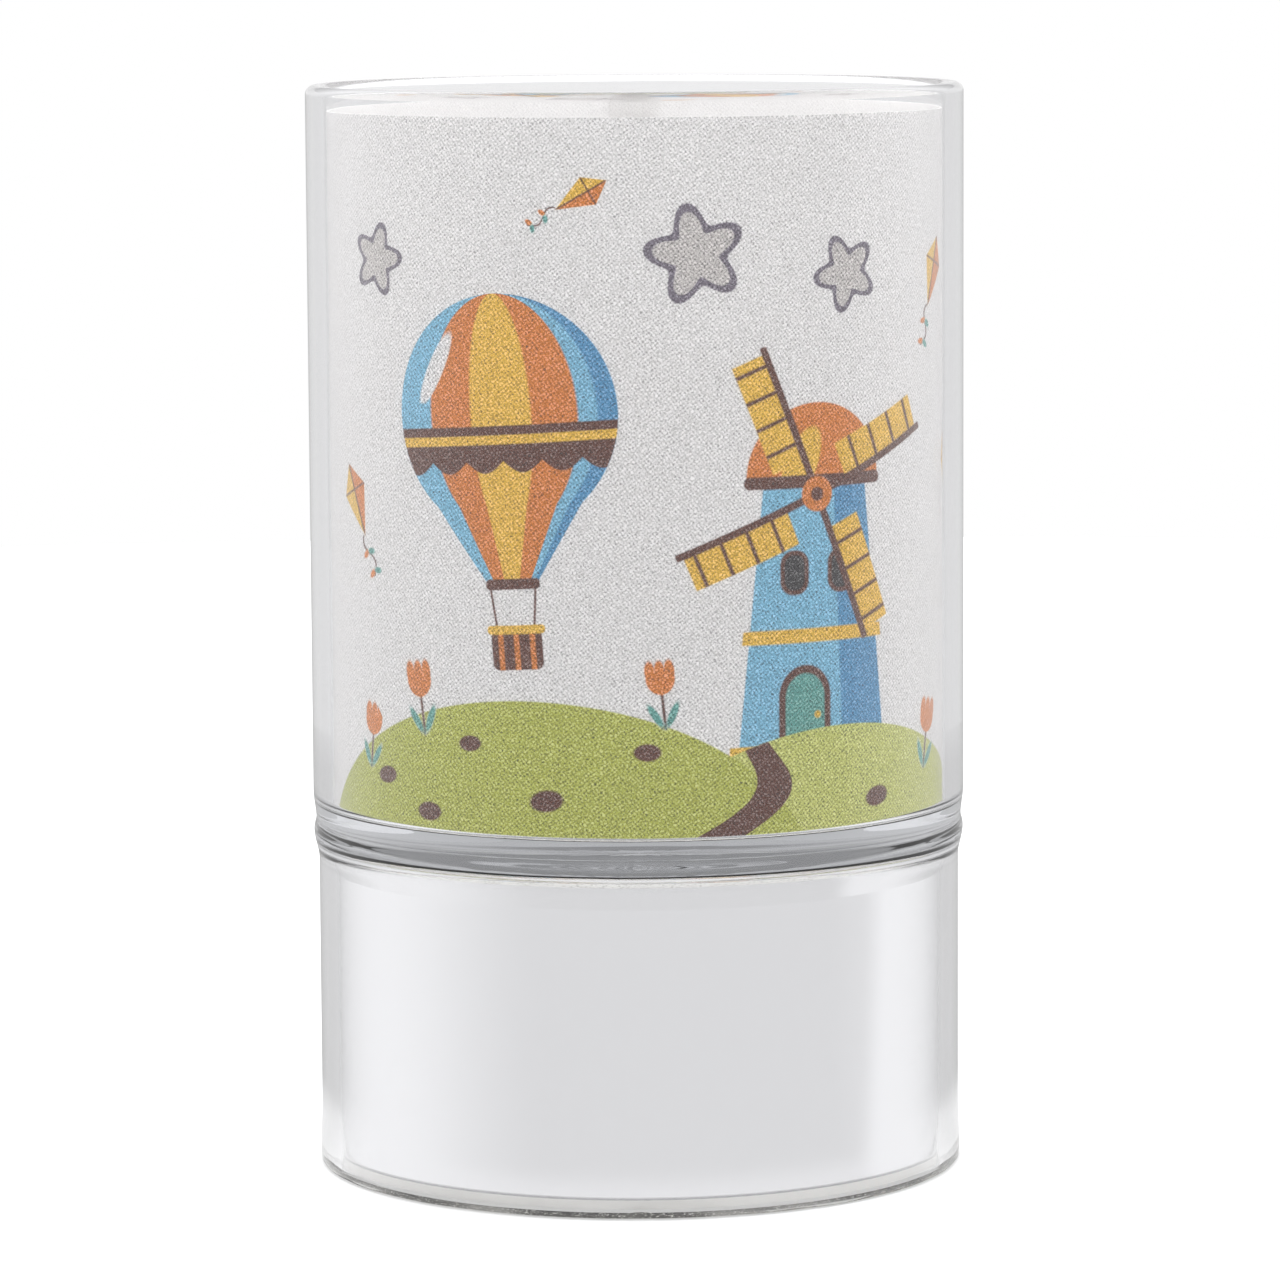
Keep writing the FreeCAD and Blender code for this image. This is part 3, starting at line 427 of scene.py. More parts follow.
def held(value):
    """The value kept between 0 and 1."""
    return Field(add_among([value], "ShaderNodeClamp").outputs[0])


def mix_colour(share, a, b, blend="MIX"):
    inputs = {0: share, 6: a, 7: b}
    node = add_among([share, a, b], "ShaderNodeMix", inputs, data_type="RGBA", blend_type=blend)
    return Field(node.outputs[2])


def ranged(value, low, high, to_low, to_high):
    """The value moved from one range to another, smooth at both ends and held outside."""
    values = [value, low, high, to_low, to_high]
    node = add_among(values, "ShaderNodeMapRange", interpolation_type="SMOOTHSTEP", clamp=False)
    return Field(node.outputs[0])


def split(point):
    return [Field(socket) for socket in add_among([point], "ShaderNodeSeparateXYZ").outputs]


def joined(x, y, z=0.0):
    return Field(add_among([x, y, z], "ShaderNodeCombineXYZ").outputs[0])


def noise(vector, scale, detail=2.0, roughness=0.5, output="Fac"):
    """Noise from 0 to 1, with scale as features per unit of the vector."""
    inputs = {"Vector": vector, "Scale": scale, "Detail": detail, "Roughness": roughness}
    return Field(add_among([vector], "ShaderNodeTexNoise", inputs).outputs[output])


def bump(height, strength, distance):
    inputs = {"Height": height, "Strength": strength, "Distance": distance}
    return Field(add_among([height], "ShaderNodeBump", inputs).outputs[0])


def placed(point, centre, turn=0.0, size=(1.0, 1.0)):
    """The point in a shape's own axes: moved from its centre, turned back and scaled to it."""
    inputs = {
        "Vector": point,
        "Location": (*centre, 0),
        "Rotation": (0, 0, math.radians(turn)),
        "Scale": (*size, 1),
    }
    return Field(add_among([point], "ShaderNodeMapping", inputs, vector_type="TEXTURE").outputs[0])


def nearest(point, places):
    """The point in the axes of the nearest of several places (x, y, turn, size), so that one drawing
    serves them all. Distances are counted in sizes of each place."""
    best = None
    for x, y, turn, size in places:
        own = placed(point, (x, y), turn, (size, size))
        distance = vector_node("LENGTH", own)
        if best is None:
            best = own
            least = distance
            continue
        inputs = {0: math_node("LESS_THAN", distance, least), 4: best, 5: own}
        best = Field(add_among([own], "ShaderNodeMix", inputs, data_type="VECTOR").outputs[1])
        least = math_node("MINIMUM", distance, least)
    return best


# Width in millimetres over which a printed edge fades
INK_EDGE = 0.18


def inside(distance):
    """Mask of the points whose distance to an outline, in millimetres, is below zero."""
    return held(math_node("MULTIPLY_ADD", distance, -1 / INK_EDGE, 0.5))


def oval(point, centre, radii, turn=0.0):
    """Mask of an ellipse."""
    length = vector_node("LENGTH", placed(point, centre, turn, radii))
    sharp = min(radii) / INK_EDGE
    return held(math_node("MULTIPLY_ADD", length, -sharp, sharp + 0.5))


def slab(point, centre, half, corner, turn=0.0):
    """Mask of a rectangle with round corners."""
    own = vector_node("ABSOLUTE", placed(point, centre, turn))
    past = vector_node("SUBTRACT", own, (half[0] - corner, half[1] - corner, 0))
    past = vector_node("MAXIMUM", past, (0, 0, 0))
    return inside(vector_node("LENGTH", past) - corner)


def both(a, b):
    return a * b


def either(a, b):
    return math_node("MAXIMUM", a, b)


def between(value, low, high):
    """Mask of low < value < high, in millimetres."""
    return inside(abs(value - (low + high) / 2) - (high - low) / 2)


NUMBER = "NodeSocketFloat"
VECTOR = "NodeSocketVector"
COLOUR = "NodeSocketColor"


def group_tree(name, inputs, outputs):
    """An empty shader group with typed, named sockets: its tree, its inputs and its output node."""
    tree = bpy.data.node_groups.new(name, "ShaderNodeTree")
    for label, (kind, default) in inputs.items():
        socket = tree.interface.new_socket(label, in_out="INPUT", socket_type=kind)
        if default is not None:
            socket.default_value = default
    for label, kind in outputs.items():
        tree.interface.new_socket(label, in_out="OUTPUT", socket_type=kind)
    start = tree.nodes.new("NodeGroupInput")
    end = tree.nodes.new("NodeGroupOutput")
    given = {label: Field(start.outputs[label]) for label in inputs}
    return tree, given, end


def place_group(tree, name, **values):
    """Puts a group into a tree and gives its inputs; its outputs come back by name."""
    return outputs_of(add_node(tree, "ShaderNodeGroup", values, node_tree=bpy.data.node_groups[name]))


# Shared effects

# Slant of the weave in degrees
WEAVE_SLANT = 38


def build_weave_group():
    """Uneven plain weave on the slant: in each square of the grid either one thread or the other
    lies on top. A thread's height is sqrt(1 - t^2) across it, and the corners between are open."""
    _, given, end = group_tree(
        "weave",
        {"Point": (VECTOR, None), "Pitch": (NUMBER, 0.38), "Unevenness": (NUMBER, 0.5)},
        {"Height": NUMBER, "Gap": NUMBER, "Tone": NUMBER},
    )
    wobble = noise(given["Point"], scale=3.0, detail=1, output="Color")
    shift = vector_node("SUBTRACT", wobble, (0.5, 0.5, 0.5))
    moved = vector_node("MULTIPLY_ADD", shift, given["Unevenness"], given["Point"])
    x, y, _ = split(placed(moved, (0, 0), WEAVE_SLANT))
    x = x / given["Pitch"]
    y = y / given["Pitch"]
    column = math_node("FLOOR", x)
    row = math_node("FLOOR", y)
    odd = math_node("MODULO", abs(column + row), 2.0)
    across_x = (x - column) * 2 - 1
    across_y = (y - row) * 2 - 1
    upright = math_node("SQRT", 1.0 - across_x * across_x)
    level = math_node("SQRT", 1.0 - across_y * across_y)
    over_upright = upright * (1.0 - across_y * across_y * 0.45)
    over_level = level * (1.0 - across_x * across_x * 0.45)
    open_corner = across_x * across_x * across_y * across_y
    set_inputs(end, {
        "Height": over_upright * odd + over_level * (1.0 - odd),
        "Gap": ranged(open_corner, 0.2, 0.6, 0.0, 1.0),
        "Tone": ranged(noise(moved, scale=4.4, detail=1.0), 0.34, 0.66, 0.0, 1.0),
    })


def build_grain_group():
    """Fine moulded grain with a little haze of handling: height and tone from two noises."""
    _, given, end = group_tree(
        "moulded_grain",
        {"Point": (VECTOR, None), "Colour": (COLOUR, (0.8, 0.8, 0.8, 1)), "Depth": (NUMBER, 0.06)},
        {"Colour": COLOUR, "Roughness shift": NUMBER, "Height": NUMBER},
    )
    broad = noise(given["Point"], scale=110.0, detail=3.0)
    shade = ranged(broad, 0.3, 0.75, 0.0, 1.0) * given["Depth"]
    dark = mix_colour(1.0, given["Colour"], (0.6, 0.58, 0.55), "MULTIPLY")
    set_inputs(end, {
        "Colour": mix_colour(shade, given["Colour"], dark),
        "Roughness shift": (broad - 0.5) * 0.25,
        "Height": noise(given["Point"], scale=5200.0),
    })


def build_drawn_metal_group():
    """Metal with fine lines along one axis and a few dull spots."""
    _, given, end = group_tree(
        "drawn_metal",
        {"Point": (VECTOR, None), "Colour": (COLOUR, (0.7, 0.7, 0.7, 1)), "Stretch": (VECTOR, (1, 1, 1))},
        {"Colour": COLOUR, "Roughness": NUMBER, "Height": NUMBER},
    )
    stretched = vector_node("MULTIPLY", given["Point"], given["Stretch"])
    lines = noise(stretched, scale=900.0, detail=4.0, roughness=0.7)
    dull = ranged(noise(given["Point"], scale=420.0, detail=3.0), 0.5, 0.8, 0.0, 0.35)
    darker = mix_colour(1.0, given["Colour"], (0.62, 0.6, 0.57), "MULTIPLY")
    set_inputs(end, {
        "Colour": mix_colour(dull, given["Colour"], darker),
        "Roughness": lines * 0.25 + dull * 0.5 + 0.12,
        "Height": lines,
    })


# Drawings of the print, in millimetres

class Coat:
    """Flat inks laid one over the other: the colour so far, and where any ink is."""

    def __init__(self, tree, inks):
        self.tree = tree
        self.inks = inks
        self.colour = inks.cloth
        self.cover = None

    def lay(self, ink, mask):
        """Lays an ink, given by name, or a field of colours."""
        colour = getattr(self.inks, ink) if isinstance(ink, str) else ink
        self.colour = mix_colour(mask, self.colour, colour)
        self.cover = mask if self.cover is None else either(self.cover, mask)

    def place(self, name, point):
        """Lays another drawing, with its own point."""
        out = place_group(self.tree, name, Point=point)
        self.lay(out["Colour"], out["Mask"])


def draw_star(coat, point, x, y):
    """A soft five-pointed star with a dark edge: r(a) = R (1 + 0.24 cos 5a)."""
    ripple = math_node("COSINE", math_node("ARCTAN2", x, y) * 5)
    distance = vector_node("LENGTH", point) - (ripple * 0.96 + 4)
    coat.colour = mix_colour(inside(distance + 0.85), coat.inks.violet_grey, coat.inks.grey)
    coat.cover = inside(distance)


def draw_kite(coat, point, x, y):
    """A kite in two colours with spars and a waving tail with two bows."""
    lower = ranged(y, -0.01, 0.01, 0.56, 1.0)
    sail = inside((abs(x) * 1.35 + abs(y) * lower - 2.6) * 0.7)
    swing = 0.55
    waves = 1.5
    tail_x = x - math_node("SINE", y * waves) * swing
    coat.lay("brown", both(inside(abs(tail_x) - 0.14), between(y, -8.6, -4.4)))
    for bow_y in (-6.2, -8.2):
        bow_x = swing * math.sin(waves * bow_y)
        coat.lay("orange", oval(point, (bow_x - 0.45, bow_y), (0.55, 0.32), 25))
        coat.lay("teal", oval(point, (bow_x + 0.45, bow_y), (0.55, 0.32), -25))
    coat.lay("yellow", sail)
    coat.lay("orange", both(sail, inside(x * -1)))
    for across in (x, y):
        coat.lay("brown", both(sail, inside(abs(across) - 0.1)))


def draw_tulip(coat, point, x, y):
    """A tulip: a stem, two leaves and a cup with three points."""
    coat.lay("brown", slab(point, (0, 1.9), (0.16, 1.9), 0.1))
    for side in (-1, 1):
        coat.lay("teal", oval(point, (side * 0.75, 1.3), (0.36, 1.3), side * -28))
    cup = both(oval(point, (0, 4.6), (1.3, 1.5)), inside(y - 5.2))
    for tip_x in (-0.85, 0, 0.85):
        cup = either(cup, oval(point, (tip_x, 5.2), (0.48, 1.05)))
    coat.lay("orange", cup)


def draw_mill(coat, point, x, y):
    """A windmill: a tapered tower with a domed cap, a door, two windows and four slatted sails."""
    side = abs(x) + y * 0.1
    tower = both(inside(side - 7.4), between(y, 0, 24))
    coat.lay("sky_blue", tower)
    coat.lay("deep_blue", both(tower, inside(2.6 - x - y * 0.04)))
    coat.lay("yellow", both(inside(side - 8.0), between(y, 9.6, 10.8)))
    coat.lay("yellow", both(inside(side - 8.2), between(y, -0.6, 1.0)))
    cap = both(oval(point, (0, 23.6), (6.6, 6.4)), inside(23.2 - y))
    coat.lay("orange", cap)
    coat.lay("yellow", both(cap, oval(point, (-1.6, 24.6), (1.5, 3.6), -24)))
    coat.lay("brown", slab(point, (0, 23.3), (6.8, 0.55), 0.5))
    frame_arch = oval(point, (-1.2, 5.0), (2.5, 2.7))
    coat.lay("brown", either(frame_arch, slab(point, (-1.2, 2.9), (2.5, 2.5), 0.2)))
    door_arch = oval(point, (-1.2, 4.9), (1.9, 2.1))
    coat.lay("teal", either(door_arch, slab(point, (-1.2, 2.9), (1.9, 2.1), 0.2)))
    coat.lay("yellow", oval(point, (0.0, 3.4), (0.32, 0.32)))
    for window_x in (-2.2, 2.4):
        coat.lay("brown", slab(point, (window_x, 15.6), (1.35, 1.9), 1.2))
        coat.lay("charcoal", slab(point, (window_x, 15.6), (0.95, 1.5), 0.85))
    hub = (0, 22.2)
    for turn in (22, 112):
        own = placed(point, hub, turn)
        own_x, own_y, _ = split(own)
        arm = slab(own, (0, 0), (13.6, 0.34), 0.2)
        leading = own_y * math_node("SIGN", own_x)
        cloth = both(between(abs(own_x), 3.2, 13.0), between(leading, 0.1, 3.2))
        slats = inside(math_node("PINGPONG", own_x, 1.2) - 0.17)
        coat.lay("yellow", cloth)
        coat.lay("brown", either(arm, both(cloth, slats)))
    coat.lay("orange", oval(point, hub, (1.5, 1.5)))
    coat.lay("brown", oval(point, hub, (0.6, 0.6)))


def draw_balloon(coat, point, x, y):
    """A hot-air balloon. Its half width w is that of a circle and, below it, of a taper; the gores
    are bands of |x| / w."""
    radius = 13.0
    throat = -18.5
    round_w = math_node("SQRT", math_node("MAXIMUM", radius**2 - y * y, 0.0))
    taper_w = both((y - throat) * 0.66 + 2.8, both(inside(throat - y), inside(y + 4)))
    half = either(round_w, taper_w)
    skin = inside(abs(x) - half + 0.15)
    share = abs(x) / math_node("MAXIMUM", half, 0.3)
    for rope_x, turn in ((-2.3, 6), (2.3, -6)):
        coat.lay("brown", slab(point, (rope_x, -21.2), (0.16, 2.6), 0.1, turn))
    coat.lay("sky_blue", skin)
    coat.lay("deep_blue", both(skin, both(inside(x * -1), inside((0.82 - share) * 6))))
    coat.lay("orange", both(skin, inside((share - 0.66) * 8)))
    coat.lay("yellow", both(skin, inside((share - 0.27) * 8)))
    swag = abs(math_node("SINE", x * 0.72)) * -1.3
    coat.lay("brown", both(skin, both(inside(y + 1.2), inside(swag - y - 5.0))))
    coat.lay("yellow", both(skin, between(y, -3.2, -2.2)))
    shine = both(oval(point, (-7.6, 5.2), (1.0, 4.4), -30), inside(y * -1 + 1.5))
    coat.lay("cloth", both(skin, shine))
    coat.lay("brown", slab(point, (0, throat + 0.2), (3.1, 0.6), 0.5))
    basket = slab(point, (0, -25.4), (2.9, 2.2), 0.8)
    coat.lay("brown", basket)
    coat.lay("orange", both(basket, inside(math_node("PINGPONG", x, 0.9) - 0.3)))
    coat.lay("yellow", slab(point, (0, -23.2), (3.3, 0.5), 0.4))


# Places of the motifs: x, y, turn in degrees, size
STARS = [(6.5, 64, 12, 1.15), (-32, 63, -14, 0.85), (24.5, 61.5, 25, 0.9)]
KITES = [(-37, 37, 24, 1.2), (41, 62, -20, 1.15), (46, 40, 14, 1.1), (-5, 71, -60, 0.9)]
TULIPS = [(-25, 10.5, 8, 1.35), (-34, 6, -6, 1.2), (3, 12, 6, 1.25), (38, 5, -10, 1.3)]
MILLS = [(20.5, 8.5, 0, 1.3)]
BALLOONS = [(-15, 46.5, 4, 1.02)]
DOTS = [
    (-31, 5.5, 8, 1.2), (-19, 10, 4, 1.1), (-24.5, 2, 0, 1.3),
    (-10, 4, 8, 1.5), (1, 9.5, 0, 1.2), (29, 3, 9, 1.4),
]


def draw_picture(coat, point, x, y):
    """The whole repeat of the print, with (0, 0) at the middle of its lower edge. The path's middle
    runs along 9 + 0.55 y + 3.4 sin(0.36 y) and it narrows as it climbs."""
    coat.place("print_star", nearest(point, STARS))
    coat.place("print_kite", nearest(point, KITES))
    coat.place("print_mill", nearest(point, MILLS))
    far_hill = oval(point, (24, -6), (26, 17.5))
    near_hill = oval(point, (-12, -9), (33, 24))
    coat.lay("pale_green", far_hill)
    coat.lay("green", near_hill)
    middle = math_node("SINE", y * 0.36) * 3.4 + 9.0 + y * 0.55
    path = both(inside(abs(x - middle) + y * 0.11 - 2.7), inside(y - 14.0))
    ground = either(near_hill, far_hill)
    coat.lay("brown", both(path, ground))
    coat.lay("brown", both(ground, oval(nearest(point, DOTS), (0, 0), (1.25, 0.8))))
    coat.place("print_tulip", nearest(point, TULIPS))
    coat.place("print_balloon", nearest(point, BALLOONS))


# In the order in which they need each other
DRAWINGS = {
    "print_star": draw_star,
    "print_kite": draw_kite,
    "print_tulip": draw_tulip,
    "print_mill": draw_mill,
    "print_balloon": draw_balloon,
    "print_picture": draw_picture,
}


def build_drawing(name, draw, inks):
    """A shader group of one drawing: its colour and its mask at a point."""
    tree, given, end = group_tree(name, {"Point": (VECTOR, None)}, {"Colour": COLOUR, "Mask": NUMBER})
    coat = Coat(tree, inks)
    x, y, _ = split(given["Point"])
    draw(coat, given["Point"], x, y)
    set_inputs(end, {"Colour": coat.colour, "Mask": coat.cover})


# Materials

# Clear glass: its tone at each face, how fast its depth takes the tint, and the tone and the number
# of turns after which it lets light straight out, in the thin walls and in the thick waist, which
# reaches this far from the floor's upper face
GLASS_TONE = (0.862, 0.862, 0.871)
GLASS_IOR = 1.47
TINT_DENSITY = 30.0
PASSED_TONE = (0.95, 0.95, 0.957)
WALL_DEPTH = 3.5
WAIST_DEPTH = 5.5
WAIST_REACH = 8 * MM

# Fabric: share of light that it passes on to its other face, the painted shade in the hollows of the
# weave and the painted highlight on its thread crowns, how uneven a thread's tone is, and how much of the
# painted shade and the open gaps is left where it turns away
SEE_THROUGH = 0.48
THREAD_PAINTED_SHADE = -0.22
THREAD_PAINTED_HIGHLIGHT = 0.07
THREAD_UNEVEN = 0.34
RELIEF_AND_PAINTED_SHADE_ASIDE = 0.4


def new_material(name):
    """A material with an empty tree, its Principled shader and its output."""
    material = bpy.data.materials.new(name)
    material.use_nodes = True
    tree = material.node_tree
    tree.nodes.clear()
    shader = tree.nodes.new("ShaderNodeBsdfPrincipled")
    out = add_node(tree, "ShaderNodeOutputMaterial", {"Surface": shader.outputs[0]})
    return material, tree, shader, out


def object_point(tree):
    """Object coordinates, in metres."""
    return Field(tree.nodes.new("ShaderNodeTexCoord").outputs["Object"])


def sheet_point(tree, flat, front_s):
    """Millimetres along and up a rolled sheet, from its UV map, with 0 at the middle of the front."""
    node = tree.nodes.new("ShaderNodeUVMap")
    node.uv_map = "sheet"
    scaled = vector_node("MULTIPLY", Field(node.outputs[0]), (flat[0] / MM, flat[1] / MM, 1))
    return vector_node("SUBTRACT", scaled, (front_s / MM, 0, 0))


def mixed(tree, share, first, second):
    """Two shaders mixed by a share or a mask."""
    return add_node(tree, "ShaderNodeMixShader", {0: share, 1: first, 2: second}).outputs[0]


def glass_material(glass):
    """Clear glass with a slight tint in its depth. Light on its way to a matt surface goes straight
    through, so that what stands inside is lit evenly, and so does light that a wall has passed on
    many times."""
    material, tree, shader, out = new_material("clear_glass")
    point = object_point(tree)
    set_inputs(shader, {
        "Base Color": GLASS_TONE,
        "Transmission Weight": 1,
        "Roughness": 0,
        "IOR": GLASS_IOR,
        "Normal": bump(noise(point, scale=60.0, detail=1.0), strength=0.04, distance=0.2 * MM),
    })
    depth = add_node(tree, "ShaderNodeVolumeAbsorption", {"Color": glass.tint, "Density": TINT_DENSITY})
    path = outputs_of(tree.nodes.new("ShaderNodeLightPath"))
    lighting = either(path["Is Shadow Ray"], path["Is Diffuse Ray"])
    _, _, z = split(point)
    thin = math_node("GREATER_THAN", abs(z - glass.floor_top), WAIST_REACH)
    most = thin * (WALL_DEPTH - WAIST_DEPTH) + WAIST_DEPTH
    passed_on = math_node("GREATER_THAN", path["Ray Depth"], most)
    clear = add_node(tree, "ShaderNodeBsdfTransparent", {"Color": PASSED_TONE})
    surface = mixed(tree, either(lighting, passed_on), shader.outputs[0], clear.outputs[0])
    set_inputs(out, {"Surface": surface, "Volume": depth.outputs[0]})
    return material


def ground_edge_with_painted_shade(point):
    """Ground glass of the cut lower edge: matt, with pale chips, and paler where it stands on the table.
    Its dark grey, in uneven patches, is painted shade for the shadow under the foot seen through the
    edge."""
    chips = noise(vector_node("MULTIPLY", point, (1, 1, 2)), scale=3000.0, detail=3.0, roughness=0.7)
    broad = ranged(noise(point, scale=70.0), 0.4, 0.6, 0.0, 1.0)
    # Painted shade: the dark grey of the edge stands in for the shadow under the foot
    dark = mix_colour(broad, linear("454442"), linear("7f7e7b"))
    _, _, z = split(point)
    standing = ranged(z, 0.02 * MM, 0.12 * MM, 0.75, 0.0)
    dark = mix_colour(standing, dark, linear("c6c7c4"))
    return {
        "Base Color": mix_colour(ranged(chips, 0.5, 0.7, 0.0, 1.0), dark, linear("b5b4b0")),
        "Roughness": chips * 0.4 + 0.3,
        "Normal": bump(chips, strength=0.4, distance=0.05 * MM),
    }


def two_faced(tree, colour, surface, share):
    """Mixes a surface with light that comes through it from the other face."""
    through = add_node(tree, "ShaderNodeBsdfTranslucent", {"Color": colour})
    return mixed(tree, share, surface, through.outputs[0])


def fabric_material(name, sheets, flat, front_s, repeat, ink_strength, relief_and_painted_shade, tone):
    """Woven sheet that lets light through, with the print on its outer face. Light that it scatters
    or blocks takes its even colour, which spares the threads for what is seen."""
    material, tree, shader, out = new_material(name)
    cloth = bpy.context.scene.lamp_print.cloth
    plain = add_node(tree, "ShaderNodeBsdfDiffuse", {"Color": cloth})
    plain_side = two_faced(tree, cloth, plain.outputs[0], SEE_THROUGH)
    point = sheet_point(tree, flat, front_s)
    x, y, _ = split(point)
    own_x = math_node("WRAP", x, repeat / 2, -repeat / 2)
    picture = place_group(tree, "print_picture", Point=joined(own_x, y))
    weave = place_group(tree, "weave", Point=point, Pitch=sheets.weave / MM)
    turned_away = Field(tree.nodes.new("ShaderNodeLayerWeight").outputs["Facing"])
    # Painted shade and highlight of the weave: the colour is darker in the hollows between threads and in
    # the open corners, brighter on the thread crowns, and less so where the sheet turns away
    depth = ranged(turned_away, 0.25, 0.9, relief_and_painted_shade, relief_and_painted_shade * RELIEF_AND_PAINTED_SHADE_ASIDE)
    thread = ranged(weave["Height"], 0.2, 1.0, THREAD_PAINTED_SHADE, THREAD_PAINTED_HIGHLIGHT)
    thread = thread + (weave["Tone"] - 0.5) * THREAD_UNEVEN
    soak = ranged(thread, 0.0, 0.24, ink_strength, ink_strength * 0.8)
    printed = mix_colour(soak, cloth, picture["Colour"])
    # Adding tone scales the whole face: a painted brightness, higher on the inside face than on the outer
    # one
    level = (thread - weave["Gap"] * 0.12) * depth * (picture["Mask"] * 0.4 + 1.0) + tone
    coloured = mix_colour(1.0, printed, level, "MULTIPLY")
    set_inputs(shader, {
        "Base Color": coloured,
        "Roughness": weave["Tone"] * 0.2 + 0.6,
        "Normal": bump(weave["Height"], strength=0.6, distance=0.1 * MM),
        "Alpha": 1.0 - weave["Gap"] * (0.36 - picture["Mask"] * 0.2) * depth,
        "Specular IOR Level": 0.35,
    })
    seen_side = two_faced(tree, coloured, shader.outputs[0], SEE_THROUGH)
    path = outputs_of(tree.nodes.new("ShaderNodeLightPath"))
    unseen = math_node("GREATER_THAN", path["Diffuse Depth"] + path["Is Shadow Ray"], 0.5)
    set_inputs(out, {"Surface": mixed(tree, unseen, seen_side, plain_side)})
    return material


def mirror_film(point):
    """Metallised film: bright, with soft vertical unevenness from being rolled, and dull at its cut
    lower edge."""
    creases = noise(vector_node("MULTIPLY", point, (1, 1, 0.12)), scale=260.0)
    _, _, z = split(point)
    cut = ranged(z, LINER_LOW.z + 0.1 * MM, LINER_LOW.z + 0.4 * MM, 1.0, 0.0)
    return {
        "Metallic": 1,
        "Base Color": mix_colour(cut, (0.97, 0.97, 0.97), (0.5, 0.5, 0.5)),
        "Roughness": ranged(noise(point, scale=2600.0), 0.35, 0.8, 0.09, 0.16),
        "Normal": bump(creases, strength=0.1, distance=0.25 * MM),
    }


def plastic(point, code, roughness, grain, coat=0.0):
    """Moulded plastic with fine grain."""
    out = place_group(point.tree, "moulded_grain", Point=point, Colour=linear(code), Depth=0.1)
    return {
        "Base Color": out["Colour"],
        "Roughness": out["Roughness shift"] + roughness,
        "Normal": bump(out["Height"], strength=grain, distance=0.02 * MM),
        "Coat Weight": coat,
    }


def metal(point, code, stretch):
    """Plated or drawn metal with fine lines."""
    out = place_group(point.tree, "drawn_metal", Point=point, Colour=linear(code), Stretch=stretch)
    return {
        "Metallic": 1,
        "Base Color": out["Colour"],
        "Roughness": out["Roughness"],
        "Normal": bump(out["Height"], strength=0.15, distance=0.03 * MM),
    }


def resin(point):
    """Clear cast resin round a warm phosphor."""
    _, _, z = split(point)
    glow = ranged(z, BOARD_TOP, BOARD_TOP + 5 * MM, 1.0, 0.0)
    cloud = noise(point, scale=700.0, detail=3.0)
    return {
        "Base Color": mix_colour(glow * (cloud * 0.5 + 0.5), linear("f4f1e4"), linear("f0cf6a")),
        "Roughness": cloud * 0.1 + 0.06,
        "Coat Weight": 0.6,
    }


def board(point):
    """Green solder mask with slanting traces and a ring of copper near the edge, in millimetres."""
    flat = vector_node("MULTIPLY", point, (1 / MM, 1 / MM, 0))
    x, y, _ = split(flat)
    traces = inside(abs(math_node("PINGPONG", x + y * 0.5, 1.6) - 0.8) - 0.2)
    ring = inside(abs(vector_node("LENGTH", flat) - 17.8) - 0.5)
    return {
        "Base Color": mix_colour(either(traces * 0.6, ring), linear("1d6a3c"), linear("2f8a52")),
        "Roughness": noise(point, scale=500.0, detail=3.0) * 0.2 + 0.2,
        "Normal": bump(either(traces, ring), strength=0.4, distance=0.03 * MM),
    }


def cell_jacket(point):
    """Cell jacket: a dark sleeve with coloured bands towards its ends, and steel at both ends."""
    x, _, _ = split(point)
    middle = (CELL_LOW.x + CELL_HIGH.x) / 2
    half = (CELL_HIGH.x - CELL_LOW.x) / 2
    along = abs(x - middle) / half
    steel = ranged(along, 0.95, 0.965, 0.0, 1.0)
    band = ranged(along, 0.52, 0.53, 0.0, 1.0)
    scuff = noise(vector_node("MULTIPLY", point, (1, 4, 4)), scale=500.0, detail=4.0, roughness=0.7)
    jacket = mix_colour(band, linear("2b3038"), linear("b98a3c"))
    return {
        "Base Color": mix_colour(steel, jacket, linear("b9babd")),
        "Metallic": steel,
        "Roughness": scuff * 0.25 + 0.22,
        "Normal": bump(scuff, strength=0.1, distance=0.03 * MM),
    }


def foam(point):
    """Closed-cell foam with small pores."""
    inputs = {"Vector": point, "Scale": 2600.0}
    pores = outputs_of(add_node(point.tree, "ShaderNodeTexVoronoi", inputs))["Distance"]
    shade = ranged(pores, 0.1, 0.5, 0.0, 1.0)
    return {
        "Base Color": mix_colour(shade, linear("d0cfca"), linear("efeeea")),
        "Roughness": shade * 0.1 + 0.8,
        "Normal": bump(pores, strength=0.6, distance=0.08 * MM),
    }


def insulation(point, code):
    """Smooth wire insulation with faint marks."""
    marks = noise(point, scale=1500.0, detail=3.0)
    dark = tuple(0.7 * part for part in linear(code))
    return {
        "Base Color": mix_colour(marks, dark, linear(code)),
        "Roughness": marks * 0.25 + 0.3,
        "Normal": bump(marks, strength=0.15, distance=0.03 * MM),
    }


def finished(name, finish, *values, **named):
    """A material whose Principled shader takes the inputs that the finish gives at a point."""
    material, tree, shader, _ = new_material(name)
    set_inputs(shader, finish(object_point(tree), *values, **named))
    return material


def dress(nodes, name, finish, *values, **named):
    """Gives CAD nodes a material."""
    material = finished(name, finish, *values, **named)
    for node in nodes:
        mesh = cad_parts[node].data
        mesh.materials.clear()
        mesh.materials.append(material)


# Stage

# Tones of the studio in reflections: a card in front, screens at the sides, and the back, which is
# brighter above the table than below it, darker right behind the lamp and darker on the near floor
CARD_TONE = 0.95
SIDE_TONE = 1.2
BACK_TONE = 0.79
HIGH_BACK_TONE = 0.95
EDGE_TONE = 0.52
NEAR_BACK_TONE = 0.7

# A flag behind the lamp: its tone, and where it stands by height of the look and by azimuth
FLAG_TONE = 0.5
FLAG_LOW = 0.2
FLAG_HIGH = 0.6
FLAG_ASIDE = 150

